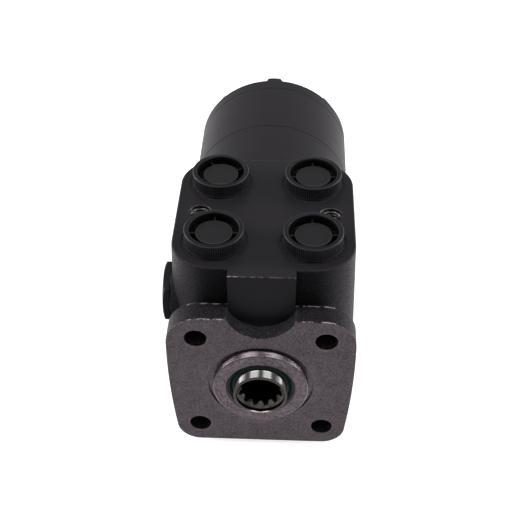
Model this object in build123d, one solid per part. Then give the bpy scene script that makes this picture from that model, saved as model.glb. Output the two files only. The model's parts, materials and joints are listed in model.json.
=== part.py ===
from build123d import *
import math
import os

# Orbital steering unit: a cast housing with a rotary valve, a cardan shaft and a gerotor set in line.
# Millimetres. The origin is the centre of the column mount's bolt square, on the mounting face.
# X points right, Y runs rearwards along the valve axis, Z points up to the port face.

# ---- column mount -------------------------------------------------------------------------------
MOUNT_SPACING = 58.34          # side of the bolt square, 82.5 mm bolt circle
MOUNT_HOLE_R = 5.0             # M10
MOUNT_HOLE_DEPTH = 17.0
MOUNT_BOSS_R = 10.0
MOUNT_BOSS_DEPTH = 21.0
HOLE_BREAK = 0.4               # countersink at the mouth of a tapped hole
SPIGOT_R = 21.9
SPIGOT_HEIGHT = 2.8
RELIEF_GROOVE_WIDTH = 2.4      # machined groove round the spigot
RELIEF_GROOVE_DEPTH = 0.9
EDGE_BREAK = 0.4

# ---- flange -------------------------------------------------------------------------------------
FLANGE_HALF_WIDTH = 42.6
FLANGE_TOP_HALF_WIDTH = 41.9
FLANGE_BOTTOM_HALF_WIDTH = 38.9
FLANGE_WIDEST_Z = 6.0
FLANGE_TOP = 41.2
FLANGE_BOTTOM = -40.4
FLANGE_THICKNESS = 12.0
FLANGE_TOP_CORNER_R = 15.0
FLANGE_BOTTOM_CORNER_R = 11.0
NOTCH_R = 16.0                 # U-shaped milled relief in the top of the flange
NOTCH_CENTRE_Z = 46.5
NOTCH_DEPTH = 7.7

# ---- body ---------------------------------------------------------------------------------------
BARREL_R = 43.66
NECK_STEP = 1.06               # the barrel is smaller by this behind the flange, then swells to full size
NECK_END = 24.0
HOUSING_END = 146.6
PORT_FACE_Z = 60.1
PORT_SPACING_X = 44.26
PORT_FRONT_Y = 31.7
PORT_REAR_Y = 75.4
PORT_BLOCK_R = 19.2            # corner radius, concentric with the ports
PORT_BLOCK_DRAFT = 2.0         # degrees
PORT_BLOCK_EDGE = 1.0          # rounding between port face and walls
FLANGE_BACK_R = 2.0            # rounding of the flange's rear edge
PORT_R = 10.48                 # G1/2
PORT_DEPTH = 16.0
PORT_BREAK = 1.0
SPOTFACE_R = 15.0
SPOTFACE_DEPTH = 0.3
FACE_HOLE_X = 30.3             # two M10 holes in the port face
FACE_HOLE_Y = 52.0
FACE_HOLE_R = 5.0
FACE_HOLE_DEPTH = 15.0
CENTRE_BLOCK_HALF_WIDTH = 14.9
CENTRE_BLOCK_ROOT = 24.0

# ---- valve bore and its seals, from the front ----------------------------------------------------
MOUTH_R = 16.2
MOUTH_BREAK = 1.1
DUST_SEAT_R = 15.1
DUST_SEAT_DEPTH = 6.0          # from the face of the spigot
NOSE_R = 12.35
NOSE_GAP = 0.4
SEAL_GAP = 0.05                # a lip that rides on the nose
SHAFT_SEAT_R = 16.5
SHAFT_SEAT_START = 6.0
DUST_SEAL_LENGTH = 4.2
DUST_RIM_R = 14.45
DUST_LIP_RISE = 0.7            # the lip stands out of the seal's face by this
DUST_LIP_EDGE = 0.5
DUST_GUTTER = 0.6              # depth of the gutter between lip and rim
DUST_GUTTER_EDGE = 0.4
DUST_HEEL = 0.8                # the seal leaves the nose behind its lip
SHAFT_SEAL_END_GAP = 0.2
SHAFT_SEAL_WEB = 1.8           # the web of the U section, and the walls on either side of its hollow
SHAFT_SEAL_WALL = 1.1
SHAFT_SEAL_LIP = 0.9
SHAFT_SEAL_FLARE = 0.4
BORE_START = 12.0
SLEEVE_R = 19.0
RUNNING_FIT = 0.05
RACE_THICKNESS = 1.6
NEEDLE_R = 1.0
NEEDLE_LENGTH = 4.0
NEEDLE_COUNT = 16
RACE_GAP = 0.04
RACE_RIM_GAP = 0.3
CAGE_FACE_GAP = 0.5
CAGE_RIM_GAP = 0.4
NEEDLE_PLAY = 0.05
GALLERY_R = 21.6               # ring galleries in the bore
GALLERY_WIDTH = 6.0
GALLERY_YS = (34.0, 58.0, 70.0, 82.0)
METER_HOLE_R = 2.6             # passages from the valve to the gerotor pockets
METER_INSET = 4.0              # from the ring's lobe pitch circle to the passages' rear ends
METER_Y = 108.0

# ---- rotary valve ---------------------------------------------------------------------------------
SPOOL_R = 15.83
NOSE_TIP = -6.8
NOSE_MOUTH_GAP = 0.9           # the mouth of the nose is wider than the spline roots by this
SPLINE_SETBACK = 2.0           # plain mouth ahead of the teeth
SPOOL_SHOULDER_GAP = 0.3
VALVE_END_GAP = 0.5
SPLINE_TEETH = 12
SPLINE_PITCH_R = 9.525         # 16/32 diametral pitch
SPLINE_MAJOR_R = 10.3
SPLINE_MINOR_R = 8.75
SPLINE_FLANK = 30.0            # pressure angle, degrees
SPLINE_END = 15.5
SPOOL_CAVITY_R = 12.6
SPOOL_CAVITY_START = 33.0
SLEEVE_GROOVE_R = 17.9
SLEEVE_GROOVE_WIDTH = 4.0
FEED_HOLE_R = 1.6
FEED_HOLES = 4
METER_PORTS = 12
SPOOL_SLOTS = 6
SPOOL_SLOT_WIDTH = 3.4
SPOOL_SLOT_DEPTH = 1.6
SPOOL_SLOT_START = 62.0
SPRING_Y = 26.6
SPRING_SLOT_WIDTH = 4.6
SPRING_HEIGHT = 5.0
SPRING_SLOT_HEIGHT = 5.6
SPRING_HALF_LENGTH = 18.0
LEAF_THICKNESS = 0.5
LEAVES_PER_SIDE = 3
SPRING_RING_WALL = 0.5
SPRING_RING_WIDTH = 7.4
SPRING_RING_PLAY = 0.1
LEAF_PLAY = 0.05
PIN_Y = 44.0
PIN_R = 4.0
PIN_LENGTH = 37.4
PIN_FIT = 0.02
PIN_WINDOW_R = 7.1             # hole in the spool that lets the pin move

# ---- gerotor set -----------------------------------------------------------------------------------
PLATE_THICKNESS = 4.15
RING_WIDTH = 39.6
COVER_THICKNESS = 8.6
RING_LOBES = 7
LOBE_INSET = 4.0               # from the screw circle to the lobe pitch circle
LOBE_R = 6.4
ECCENTRICITY = 3.2
ROTOR_GAP = 0.05               # between rotor and lobes, square to the profile
POCKET_GAP = 0.5
ROTOR_END_GAP = 0.05
ROTOR_POINTS = 96
ROTOR_POINT_WARP = 0.12        # draws the points together in the valleys, where the curve turns fastest
ROTOR_SPLINE_TEETH = 12
ROTOR_SPLINE_PITCH_R = 10.2
ROTOR_SPLINE_MAJOR_R = 11.2
ROTOR_SPLINE_MINOR_R = 9.3
SCREW_INSET = 8.66             # from the barrel's surface to the screw circle
SCREW_R = 4.0                  # M8
SCREW_HOLE_R = 4.1
SCREW_TAP_R = 4.02
SCREW_ENGAGEMENT = 18.0
SCREW_FLATS = 12.7
SCREW_HEAD = 5.3
SCREW_HEAD_BREAK = 0.6         # chamfer at the corners of the head
WASHER_R = 6.2
WASHER_THICKNESS = 1.2
O_RING_OUTSET = 5.05           # from the screw circle out to the middle of the grooves
O_RING_GROOVE_DEPTH = 1.25
O_RING_GROOVE_WIDTH = 1.5
PLATE_BORE_R = 12.4
PLATE_PORT_R = 2.9
PLATE_PORT_INSET = 3.4         # from the lobe pitch circle to the plate's ports

# ---- cardan shaft and spacer ------------------------------------------------------------------------
FORK_R = 11.2
FORK_START = 36.5
FORK_END = 53.0
FORK_SLOT_GAP = 0.12
FORK_SLOT_BOTTOM = 49.0
SHAFT_R = 6.4
SHAFT_HEAD_LENGTH = 14.0
SHAFT_HEAD_GAP = 0.35          # the crowned teeth stand off the rotor's by this
SHAFT_HEAD_CROWN_R = 60.0
SHAFT_HEAD_SLOPE = 1.0         # length of the slope where the shaft meets its splined head
SPACER_R = 8.6
SPACER_GAP = 0.5
SPACER_FRONT_GAP = 1.0

# ---- port caps ---------------------------------------------------------------------------------------
CAP_R = 13.42
CAP_TOP_Z = 67.1
CAP_RIM_WALL = 2.2
CAP_DISC_R = 8.3
CAP_DISC_DROP = 2.2
CAP_TROUGH_DROP = 5.3
CAP_SHANK_R = 10.15
CAP_SHANK_BORE_R = 8.0
CAP_SHANK_LENGTH = 9.0
CAP_WEB = 1.1
CAP_WEBS = 4
CAP_SEAT_GAP = 0.05
CAP_LEAN = {"front_left": 2.0, "front_right": 20.0, "rear_left": 28.0, "rear_right": 12.0}

# ---- check valve in the front right port --------------------------------------------------------------
CHECK_CHAMBER_R = 5.2
CHECK_CHAMBER_DEPTH = 14.5
CHECK_BALL_R = 4.2
CHECK_BUSH_LENGTH = 4.0
CHECK_BUSH_BORE_R = 3.0
CHECK_REST_GAP = 0.05
DRILLING_R = 3.2
DRILLING_AIM = 25.0            # where a drilling meets the valve bore, degrees off the top

# ---- relief valve under the plug on the left flank -------------------------------------------------------
PLUG_Y = 35.0
PLUG_Z = 25.5
PLUG_FLATS = 27.0
PLUG_SEAT_INSET = 1.66         # from the barrel's surface to the plug's seat
PLUG_HEIGHT = 4.4              # from the seat to the plug's outer face
PLUG_CHAMFER = 1.3
PLUG_THREAD_R = 10.0
PLUG_THREAD_LENGTH = 9.0
PLUG_CORNER = 137.0            # direction of one hexagon corner, degrees up from +Y
PLUG_PAD_R = 16.4
PLUG_WASHER_R = 13.2
PLUG_WASHER_THICKNESS = 1.2
PLUG_BORE_R = 5.2
RELIEF_CHAMBER_R = 7.0
RELIEF_CHAMBER_DEPTH = 16.0
RELIEF_AIM = 150.0             # where the relief hole meets the valve bore, degrees up from +X
RELIEF_SEAT_LENGTH = 4.0
RELIEF_HOLE_R = 2.2
POPPET_R = 4.2
POPPET_STEM_R = 2.0
POPPET_STEM_LENGTH = 4.0
POPPET_GAP = 0.08
POPPET_COLLAR = 1.6
POPPET_NOSE_TIP_R = 0.6
POPPET_NOSE_LENGTH = 1.8
RELIEF_SPRING_R = 3.6
RELIEF_WIRE_R = 0.6
RELIEF_SPRING_TURNS = 5

# ---- stations worked out from the sizes above ----------------------------------------------------------
NECK_R = BARREL_R - NECK_STEP
SCREW_CIRCLE_R = BARREL_R - SCREW_INSET
O_RING_CIRCLE_R = SCREW_CIRCLE_R + O_RING_OUTSET
LOBE_PITCH_R = SCREW_CIRCLE_R - LOBE_INSET
METER_START_R = LOBE_PITCH_R - METER_INSET
PLATE_PORT_CIRCLE_R = LOBE_PITCH_R - PLATE_PORT_INSET
PLUG_SEAT_X = PLUG_SEAT_INSET - BARREL_R
PLUG_FACE_X = PLUG_SEAT_X - PLUG_HEIGHT
RELIEF_CHAMBER_END = PLUG_SEAT_X + RELIEF_CHAMBER_DEPTH
BORE_R = SLEEVE_R + RUNNING_FIT
SPIGOT_FACE = -SPIGOT_HEIGHT
CAGE_START = BORE_START + RACE_THICKNESS + RACE_GAP
CAGE_END = CAGE_START + 2 * NEEDLE_R
REAR_RACE_START = CAGE_END + RACE_GAP
SLEEVE_START = REAR_RACE_START + RACE_THICKNESS
SPOOL_SHOULDER = SLEEVE_START + SPOOL_SHOULDER_GAP
VALVE_END = HOUSING_END - VALVE_END_GAP
PLATE_END = HOUSING_END + PLATE_THICKNESS
RING_END = PLATE_END + RING_WIDTH
COVER_END = RING_END + COVER_THICKNESS
RING_MIDDLE = (PLATE_END + RING_END) / 2
LOBE_PITCH = 360 / RING_LOBES
TOP_LOBE = 90.0                # one lobe and one screw point straight up
ROTOR_DROP = -ECCENTRICITY     # the rotor rests at the bottom of its orbit, opposite the top lobe
ROTOR_LOBES = RING_LOBES - 1
ROTOR_TIP_R = LOBE_PITCH_R + ECCENTRICITY - LOBE_R - ROTOR_GAP
POCKET_R = ROTOR_TIP_R + ECCENTRICITY + POCKET_GAP
CARDAN_TILT = math.degrees(math.atan2(ROTOR_DROP, RING_MIDDLE - PIN_Y))
PORT_X = PORT_SPACING_X / 2
PORT_PLACES = {
    "front_left": (-PORT_X, PORT_FRONT_Y),
    "front_right": (PORT_X, PORT_FRONT_Y),
    "rear_left": (-PORT_X, PORT_REAR_Y),
    "rear_right": (PORT_X, PORT_REAR_Y),
}
PORT_FLOOR = PORT_FACE_Z - PORT_DEPTH
CHECK_FLOOR = PORT_FLOOR - CHECK_CHAMBER_DEPTH
BLOCK_HALF_WIDTH = PORT_X + PORT_BLOCK_R
BLOCK_FRONT = PORT_FRONT_Y - PORT_BLOCK_R
BLOCK_REAR = PORT_REAR_Y + PORT_BLOCK_R
ENDWISE = (Align.CENTER, Align.CENTER, Align.MIN)
CUT = 1.0                      # how far a cutter runs past the face it opens


# ---- helpers -----------------------------------------------------------------------------------------
def along_y(radius, start, end, x=0.0, z=0.0):
    """A cylinder parallel to the valve axis, between two stations."""
    return Pos(x, start, z) * Rot(-90, 0, 0) * Cylinder(radius, end - start, align=ENDWISE)


def along_z(radius, bottom, top, x=0.0, y=0.0):
    """An upright cylinder."""
    return Pos(x, y, bottom) * Cylinder(radius, top - bottom, align=ENDWISE)


def along_x(radius, left, right, y=0.0, z=0.0):
    """A cylinder that runs from left to right."""
    return Pos(left, y, z) * Rot(0, 90, 0) * Cylinder(radius, right - left, align=ENDWISE)


def slab(outline, start, end):
    """An outline drawn in X and Z, as thick as the distance between two stations."""
    return Pos(0, start, 0) * extrude(Plane.XZ * outline, -(end - start))


def turned(*profile):
    """A solid turned about the valve axis from points of (radius, station)."""
    face = make_face(Polyline(*profile, close=True))
    return revolve(face, Axis.Y)


def tube(inner, outer, start, end):
    """A plain ring about the valve axis."""
    return turned((inner, start), (outer, start), (outer, end), (inner, end))


def drilling(radius, start, end):
    """A straight drilled hole between two points."""
    run = Vector(*end) - Vector(*start)
    plane = Plane(origin=start, z_dir=run)
    return extrude(plane * Circle(radius), run.length)


def on_circle(radius, angle):
    """A point in X and Z at an angle up from +X, in degrees."""
    return radius * math.cos(math.radians(angle)), radius * math.sin(math.radians(angle))


def lobe_angles():
    """Directions of the ring's lobes, which the screws pass through."""
    return [TOP_LOBE + k * LOBE_PITCH for k in range(RING_LOBES)]


def pocket_angles():
    """Directions of the pockets between the lobes."""
    return [angle + LOBE_PITCH / 2 for angle in lobe_angles()]


def screw_holes(radius, start, end):
    """The seven cover screw holes."""
    holes = [along_y(radius, start, end, *on_circle(SCREW_CIRCLE_R, angle)) for angle in lobe_angles()]
    return Part() + holes


def o_ring_groove(face, depth):
    """A ring groove that opens at a face and runs by depth along Y."""
    half = O_RING_GROOVE_WIDTH / 2
    start, end = sorted((face, face + depth))
    return tube(O_RING_CIRCLE_R - half, O_RING_CIRCLE_R + half, start, end)


def spline_outline(teeth, pitch_r, minor_r, major_r, slack=0.0):
    """Straight-flanked spline: teeth point outwards, and slack thins each flank."""
    half_pitch_width = pitch_r * math.sin(math.radians(90 / teeth)) - slack
    slope = math.tan(math.radians(SPLINE_FLANK))

    def half_angle(radius):
        width = half_pitch_width + (pitch_r - radius) * slope
        return math.degrees(math.asin(width / radius))

    points = []
    for tooth in range(teeth):
        middle = 90 + tooth * 360 / teeth
        points.append(on_circle(minor_r, middle - half_angle(minor_r)))
        points.append(on_circle(major_r, middle - half_angle(major_r)))
        points.append(on_circle(major_r, middle + half_angle(major_r)))
        points.append(on_circle(minor_r, middle + half_angle(minor_r)))
    return make_face(Polyline(*points, close=True))


def hexagon(flats):
    """A hexagon by its width across flats."""
    return RegularPolygon(flats / 2, 6, major_radius=False)


# ---- housing -----------------------------------------------------------------------------------------
def flange_outline():
    """The mounting flange: bowed sides, large upper corners and smaller lower ones."""
    right = ThreePointArc(
        (FLANGE_TOP_HALF_WIDTH, FLANGE_TOP),
        (FLANGE_HALF_WIDTH, FLANGE_WIDEST_Z),
        (FLANGE_BOTTOM_HALF_WIDTH, FLANGE_BOTTOM),
    )
    left = ThreePointArc(
        (-FLANGE_BOTTOM_HALF_WIDTH, FLANGE_BOTTOM),
        (-FLANGE_HALF_WIDTH, FLANGE_WIDEST_Z),
        (-FLANGE_TOP_HALF_WIDTH, FLANGE_TOP),
    )
    bottom = Line(right @ 1, left @ 0)
    top = Line(left @ 1, right @ 0)
    face = make_face(Curve() + [right, bottom, left, top])
    corners = face.vertices().sort_by(Axis.Y)
    face = fillet(corners[2:], FLANGE_TOP_CORNER_R)
    return fillet(face.vertices().sort_by(Axis.Y)[:2], FLANGE_BOTTOM_CORNER_R)


def port_block():
    """The raised block that carries the ports, wider at its foot by the casting draft."""
    outline = RectangleRounded(2 * BLOCK_HALF_WIDTH, BLOCK_REAR - BLOCK_FRONT, PORT_BLOCK_R)
    top = Plane(origin=(0, (BLOCK_FRONT + BLOCK_REAR) / 2, PORT_FACE_Z), z_dir=(0, 0, -1))
    block = extrude(top * outline, PORT_FACE_Z, taper=-PORT_BLOCK_DRAFT)
    face = block.faces().sort_by(Axis.Z)[-1]
    return fillet(face.edges(), PORT_BLOCK_EDGE)


def centre_block():
    """The flat-fronted block between the two front ports, behind the milled relief."""
    depth = CENTRE_BLOCK_ROOT - NOTCH_DEPTH
    foot = NOTCH_CENTRE_Z - NOTCH_R
    block = Pos(0, NOTCH_DEPTH, foot) * Box(
        2 * CENTRE_BLOCK_HALF_WIDTH, depth, PORT_FACE_Z - foot, align=(Align.CENTER, Align.MIN, Align.MIN))
    return block


def housing_body():
    """The casting before any machining."""
    body = along_y(BARREL_R, NECK_END, HOUSING_END)
    body += turned((0, FLANGE_THICKNESS / 2), (NECK_R, FLANGE_THICKNESS / 2), (NECK_R, FLANGE_THICKNESS),
                   (BARREL_R, NECK_END), (0, NECK_END))
    body += port_block()
    flange = slab(flange_outline(), 0, FLANGE_THICKNESS)
    body += fillet(flange.faces().sort_by(Axis.Y)[-1].edges(), FLANGE_BACK_R)
    body += centre_block()
    half = MOUNT_SPACING / 2
    for x in (-half, half):
        body += along_y(MOUNT_BOSS_R, FLANGE_THICKNESS / 2, MOUNT_BOSS_DEPTH, x, -half)
    body += along_x(PLUG_PAD_R, PLUG_SEAT_X, PLUG_SEAT_X / 2, PLUG_Y, PLUG_Z)
    spigot = along_y(SPIGOT_R, SPIGOT_FACE, FLANGE_THICKNESS)
    return body + chamfer(spigot.edges().sort_by(Axis.Y)[0], EDGE_BREAK)


def valve_bore():
    """The stepped bore from the mouth of the spigot to the rear face."""
    dust_seat_end = SPIGOT_FACE + DUST_SEAT_DEPTH
    bore = turned(
        (0, SPIGOT_FACE - CUT), (MOUTH_R, SPIGOT_FACE - CUT), (MOUTH_R, SPIGOT_FACE),
        (DUST_SEAT_R, SPIGOT_FACE + MOUTH_BREAK), (DUST_SEAT_R, dust_seat_end),
        (NOSE_R + NOSE_GAP, dust_seat_end), (NOSE_R + NOSE_GAP, SHAFT_SEAT_START),
        (SHAFT_SEAT_R, SHAFT_SEAT_START), (SHAFT_SEAT_R, BORE_START),
        (BORE_R, BORE_START), (BORE_R, HOUSING_END + CUT), (0, HOUSING_END + CUT))
    for station in GALLERY_YS:
        bore += tube(BORE_R - CUT, GALLERY_R, station - GALLERY_WIDTH / 2, station + GALLERY_WIDTH / 2)
    return bore


def tapped_hole(radius, depth):
    """A blind hole down from the origin, countersunk, with a drill point."""
    hole = Pos(0, 0, -depth) * Cylinder(radius, depth + CUT, align=ENDWISE)
    hole += Pos(0, 0, -HOLE_BREAK) * Cone(radius, radius + 2 * HOLE_BREAK, 2 * HOLE_BREAK, align=ENDWISE)
    tip = radius / 2
    return hole + Pos(0, 0, -depth - tip) * Cone(0, radius, tip, align=ENDWISE)


def mount_holes():
    """Four M10 holes in the flange and two in the port face."""
    half = MOUNT_SPACING / 2
    cuts = Part()
    for x in (-half, half):
        for z in (-half, half):
            cuts += Pos(x, 0, z) * Rot(90, 0, 0) * tapped_hole(MOUNT_HOLE_R, MOUNT_HOLE_DEPTH)
    for x in (-FACE_HOLE_X, FACE_HOLE_X):
        cuts += Pos(x, FACE_HOLE_Y, PORT_FACE_Z) * tapped_hole(FACE_HOLE_R, FACE_HOLE_DEPTH)
    return cuts


def port_cuts():
    """Four spotfaced ports and the drillings that lead from them to the ring galleries."""
    cuts = Part()
    for (name, (x, y)), gallery in zip(PORT_PLACES.items(), GALLERY_YS):
        cuts += along_z(PORT_R, PORT_FLOOR, PORT_FACE_Z + CUT, x, y)
        cuts += along_z(SPOTFACE_R, PORT_FACE_Z - SPOTFACE_DEPTH, PORT_FACE_Z + CUT, x, y)
        cuts += Pos(x, y, PORT_FACE_Z - SPOTFACE_DEPTH - PORT_BREAK) * Cone(
            PORT_R, PORT_R + PORT_BREAK, PORT_BREAK, align=ENDWISE)
        start = (x, y, CHECK_FLOOR + DRILLING_R if name == "front_right" else PORT_FLOOR + DRILLING_R)
        up, side = on_circle(BORE_R, DRILLING_AIM)
        cuts += drilling(DRILLING_R, start, (math.copysign(side, x), gallery, up))
    x, y = PORT_PLACES["front_right"]
    return cuts + along_z(CHECK_CHAMBER_R, CHECK_FLOOR, PORT_FLOOR + CUT, x, y)


def relief_cuts():
    """The stepped hole for the relief valve in the left flank."""
    thread_end = PLUG_SEAT_X + PLUG_THREAD_LENGTH + CUT
    cuts = along_x(PLUG_PAD_R, PLUG_FACE_X, PLUG_SEAT_X, PLUG_Y, PLUG_Z)
    cuts += along_x(PLUG_THREAD_R, PLUG_FACE_X, thread_end, PLUG_Y, PLUG_Z)
    cuts += along_x(RELIEF_CHAMBER_R, thread_end - CUT, RELIEF_CHAMBER_END, PLUG_Y, PLUG_Z)
    start = (RELIEF_CHAMBER_END - CUT, PLUG_Y, PLUG_Z)
    x, z = on_circle(BORE_R, RELIEF_AIM)
    return cuts + drilling(RELIEF_HOLE_R, start, (x, PLUG_Y, z))


def meter_cuts():
    """Seven slanted passages from the valve bore to the pockets, with the screw holes beside them."""
    cuts = screw_holes(SCREW_TAP_R, HOUSING_END - SCREW_ENGAGEMENT, HOUSING_END + CUT)
    for angle in pocket_angles():
        rear_x, rear_z = on_circle(METER_START_R, angle)
        front_x, front_z = on_circle(BORE_R - METER_HOLE_R, angle)
        cuts += drilling(METER_HOLE_R, (rear_x, HOUSING_END + CUT, rear_z), (front_x, METER_Y, front_z))
    return cuts


def make_housing():
    """The machined casting."""
    notch = slab(Pos(0, NOTCH_CENTRE_Z) * Circle(NOTCH_R), -CUT, NOTCH_DEPTH)
    notch += Pos(0, -CUT, NOTCH_CENTRE_Z) * Box(
        2 * NOTCH_R, NOTCH_DEPTH + CUT, PORT_FACE_Z, align=(Align.CENTER, Align.MIN, Align.MIN))
    groove = tube(SPIGOT_R, SPIGOT_R + RELIEF_GROOVE_WIDTH, -CUT, RELIEF_GROOVE_DEPTH)
    housing = housing_body() - notch - groove - valve_bore() - mount_holes() - port_cuts()
    housing = housing - relief_cuts() - meter_cuts()
    return housing - o_ring_groove(HOUSING_END, -O_RING_GROOVE_DEPTH)


# ---- seals and thrust bearing ------------------------------------------------------------------------
def make_dust_seal():
    """The wiper in the mouth of the bore, with a lip that leans outwards on to the nose."""
    start = SPIGOT_FACE + DUST_SEAT_DEPTH - DUST_SEAL_LENGTH
    end = SPIGOT_FACE + DUST_SEAT_DEPTH
    tip = start - DUST_LIP_RISE
    inner = NOSE_R + SEAL_GAP
    return turned((inner, tip), (inner + DUST_LIP_EDGE, tip),
                  (DUST_RIM_R - DUST_GUTTER_EDGE, start + DUST_GUTTER), (DUST_RIM_R, start),
                  (DUST_SEAT_R, start), (DUST_SEAT_R, end),
                  (inner + DUST_HEEL, end), (inner, start + DUST_HEEL))


def make_shaft_seal():
    """The pressure seal behind the web, a U-section ring."""
    inner, outer = NOSE_R + SEAL_GAP, SHAFT_SEAT_R
    start, end = SHAFT_SEAT_START + SHAFT_SEAL_END_GAP, BORE_START - SHAFT_SEAL_END_GAP
    floor = start + SHAFT_SEAL_WEB
    return turned((inner + SHAFT_SEAL_FLARE, start), (outer, start), (outer, end),
                  (outer - SHAFT_SEAL_WALL, end), (outer - SHAFT_SEAL_WALL - SHAFT_SEAL_FLARE, floor),
                  (inner + SHAFT_SEAL_LIP + SHAFT_SEAL_FLARE, floor), (inner + SHAFT_SEAL_LIP, end),
                  (inner, end))


def race(start):
    """A thrust washer of the needle bearing."""
    return tube(NOSE_R + NOSE_GAP, SLEEVE_R - RACE_RIM_GAP, start, start + RACE_THICKNESS)


def needle_angles():
    """Directions of the needles."""
    return [360 * k / NEEDLE_COUNT for k in range(NEEDLE_COUNT)]


def needle(angle, radius, length):
    """One radial needle at the middle of the bearing."""
    middle = (NOSE_R + NOSE_GAP + SLEEVE_R - RACE_RIM_GAP) / 2
    roller = Rot(0, 90, 0) * Cylinder(radius, length)
    return Pos(0, (CAGE_START + CAGE_END) / 2, 0) * Rot(0, angle, 0) * Pos(middle, 0, 0) * roller


def make_needle_cage():
    """The flat cage with a window for each needle."""
    cage = tube(NOSE_R + NOSE_GAP, SLEEVE_R - CAGE_RIM_GAP,
                CAGE_START + CAGE_FACE_GAP, CAGE_END - CAGE_FACE_GAP)
    radius, length = NEEDLE_R + NEEDLE_PLAY, NEEDLE_LENGTH + 2 * NEEDLE_PLAY
    return cage - [needle(angle, radius, length) for angle in needle_angles()]


def make_bearing_needles():
    """All the needles."""
    return [needle(angle, NEEDLE_R, NEEDLE_LENGTH) for angle in needle_angles()]


# ---- rotary valve --------------------------------------------------------------------------------------
def spring_slot():
    """The slot for the leaf springs, upright through the valve axis."""
    return Pos(0, SPRING_Y, 0) * Box(SPRING_SLOT_WIDTH, SPRING_SLOT_HEIGHT, 3 * SLEEVE_R)


def make_sleeve():
    """The sleeve: galleries with feed holes, a row of meter ports, the spring slot and the pin hole."""
    sleeve = tube(SPOOL_R + RUNNING_FIT, SLEEVE_R, SLEEVE_START, VALVE_END)
    seat = SPRING_RING_WIDTH / 2 + SPRING_RING_PLAY
    sleeve -= tube(SLEEVE_R - SPRING_RING_WALL - SPRING_RING_PLAY, SLEEVE_R + CUT,
                   SPRING_Y - seat, SPRING_Y + seat)
    for station in GALLERY_YS:
        half = SLEEVE_GROOVE_WIDTH / 2
        sleeve -= tube(SLEEVE_GROOVE_R, SLEEVE_R + CUT, station - half, station + half)
        for k in range(FEED_HOLES):
            x, z = on_circle(SLEEVE_R + CUT, 45 + k * 360 / FEED_HOLES)
            sleeve -= drilling(FEED_HOLE_R, (0, station, 0), (x, station, z))
    for k in range(METER_PORTS):
        x, z = on_circle(SLEEVE_R + CUT, k * 360 / METER_PORTS)
        sleeve -= drilling(FEED_HOLE_R, (0, METER_Y, 0), (x, METER_Y, z))
    sleeve -= spring_slot()
    return sleeve - along_x(PIN_R + PIN_FIT, -SLEEVE_R - CUT, SLEEVE_R + CUT, PIN_Y)


def make_spring_ring():
    """The thin ring that keeps the leaf springs in their slot."""
    half = SPRING_RING_WIDTH / 2
    return tube(SLEEVE_R - SPRING_RING_WALL, SLEEVE_R, SPRING_Y - half, SPRING_Y + half)


def leaf(side, order):
    """One bowed leaf: order 0 lies on the slot wall, the others nest against it."""
    reach = SPRING_HALF_LENGTH
    wall = SPRING_SLOT_WIDTH / 2
    outer = wall - order * LEAF_THICKNESS
    crown = LEAF_THICKNESS * (LEAVES_PER_SIDE - order) + LEAF_PLAY
    rim = ThreePointArc((outer, -reach), (crown, 0), (outer, reach))
    back = ThreePointArc((outer - LEAF_THICKNESS, reach), (crown - LEAF_THICKNESS, 0),
                         (outer - LEAF_THICKNESS, -reach))
    face = make_face(Curve() + [rim, Line(rim @ 1, back @ 0), back, Line(back @ 1, rim @ 0)])
    solid = slab(face, SPRING_Y - SPRING_HEIGHT / 2, SPRING_Y + SPRING_HEIGHT / 2)
    return solid if side > 0 else mirror(solid, Plane.YZ)


def make_centring_springs():
    """Two nests of bowed leaves, back to back."""
    return [leaf(side, order) for side in (1, -1) for order in range(LEAVES_PER_SIDE)]


def make_cross_pin():
    """The pin that drives the cardan shaft."""
    pin = along_x(PIN_R, -PIN_LENGTH / 2, PIN_LENGTH / 2, PIN_Y)
    ends = pin.edges().filter_by(GeomType.CIRCLE)
    return chamfer(ends, EDGE_BREAK)


def make_spool():
    """The spool: splined nose, web, spring slot, pin windows and metering slots."""
    spool = turned(
        (0, NOSE_TIP), (NOSE_R - EDGE_BREAK, NOSE_TIP), (NOSE_R, NOSE_TIP + EDGE_BREAK),
        (NOSE_R, SPOOL_SHOULDER), (SPOOL_R, SPOOL_SHOULDER), (SPOOL_R, VALVE_END - EDGE_BREAK),
        (SPOOL_CAVITY_R, VALVE_END - EDGE_BREAK), (SPOOL_CAVITY_R, SPOOL_CAVITY_START),
        (0, SPOOL_CAVITY_START))
    broach = spline_outline(SPLINE_TEETH, SPLINE_PITCH_R, SPLINE_MINOR_R, SPLINE_MAJOR_R)
    spool -= slab(Rot(0, 0, 180 / SPLINE_TEETH) * broach, NOSE_TIP - CUT, SPLINE_END)
    mouth_r, teeth_start = SPLINE_MAJOR_R + NOSE_MOUTH_GAP, NOSE_TIP + SPLINE_SETBACK
    spool -= turned((0, NOSE_TIP), (mouth_r, NOSE_TIP), (mouth_r, teeth_start),
                    (SPLINE_MINOR_R, teeth_start + mouth_r - SPLINE_MINOR_R),
                    (0, teeth_start + mouth_r - SPLINE_MINOR_R))
    spool -= spring_slot()
    spool -= along_x(PIN_WINDOW_R, -SPOOL_R - CUT, SPOOL_R + CUT, PIN_Y)
    for k in range(SPOOL_SLOTS):
        slot = Pos(0, (SPOOL_SLOT_START + METER_Y) / 2, SPOOL_R) * Box(
            SPOOL_SLOT_WIDTH, METER_Y - SPOOL_SLOT_START, 2 * SPOOL_SLOT_DEPTH)
        spool -= Rot(0, (k + 0.5) * 360 / SPOOL_SLOTS, 0) * slot
    return spool


# ---- gerotor set -----------------------------------------------------------------------------------------
def plain_disc(start, end):
    """A disc as large as the barrel with its edges broken."""
    disc = along_y(BARREL_R, start, end)
    return chamfer(disc.edges().filter_by(GeomType.CIRCLE), EDGE_BREAK)


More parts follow.
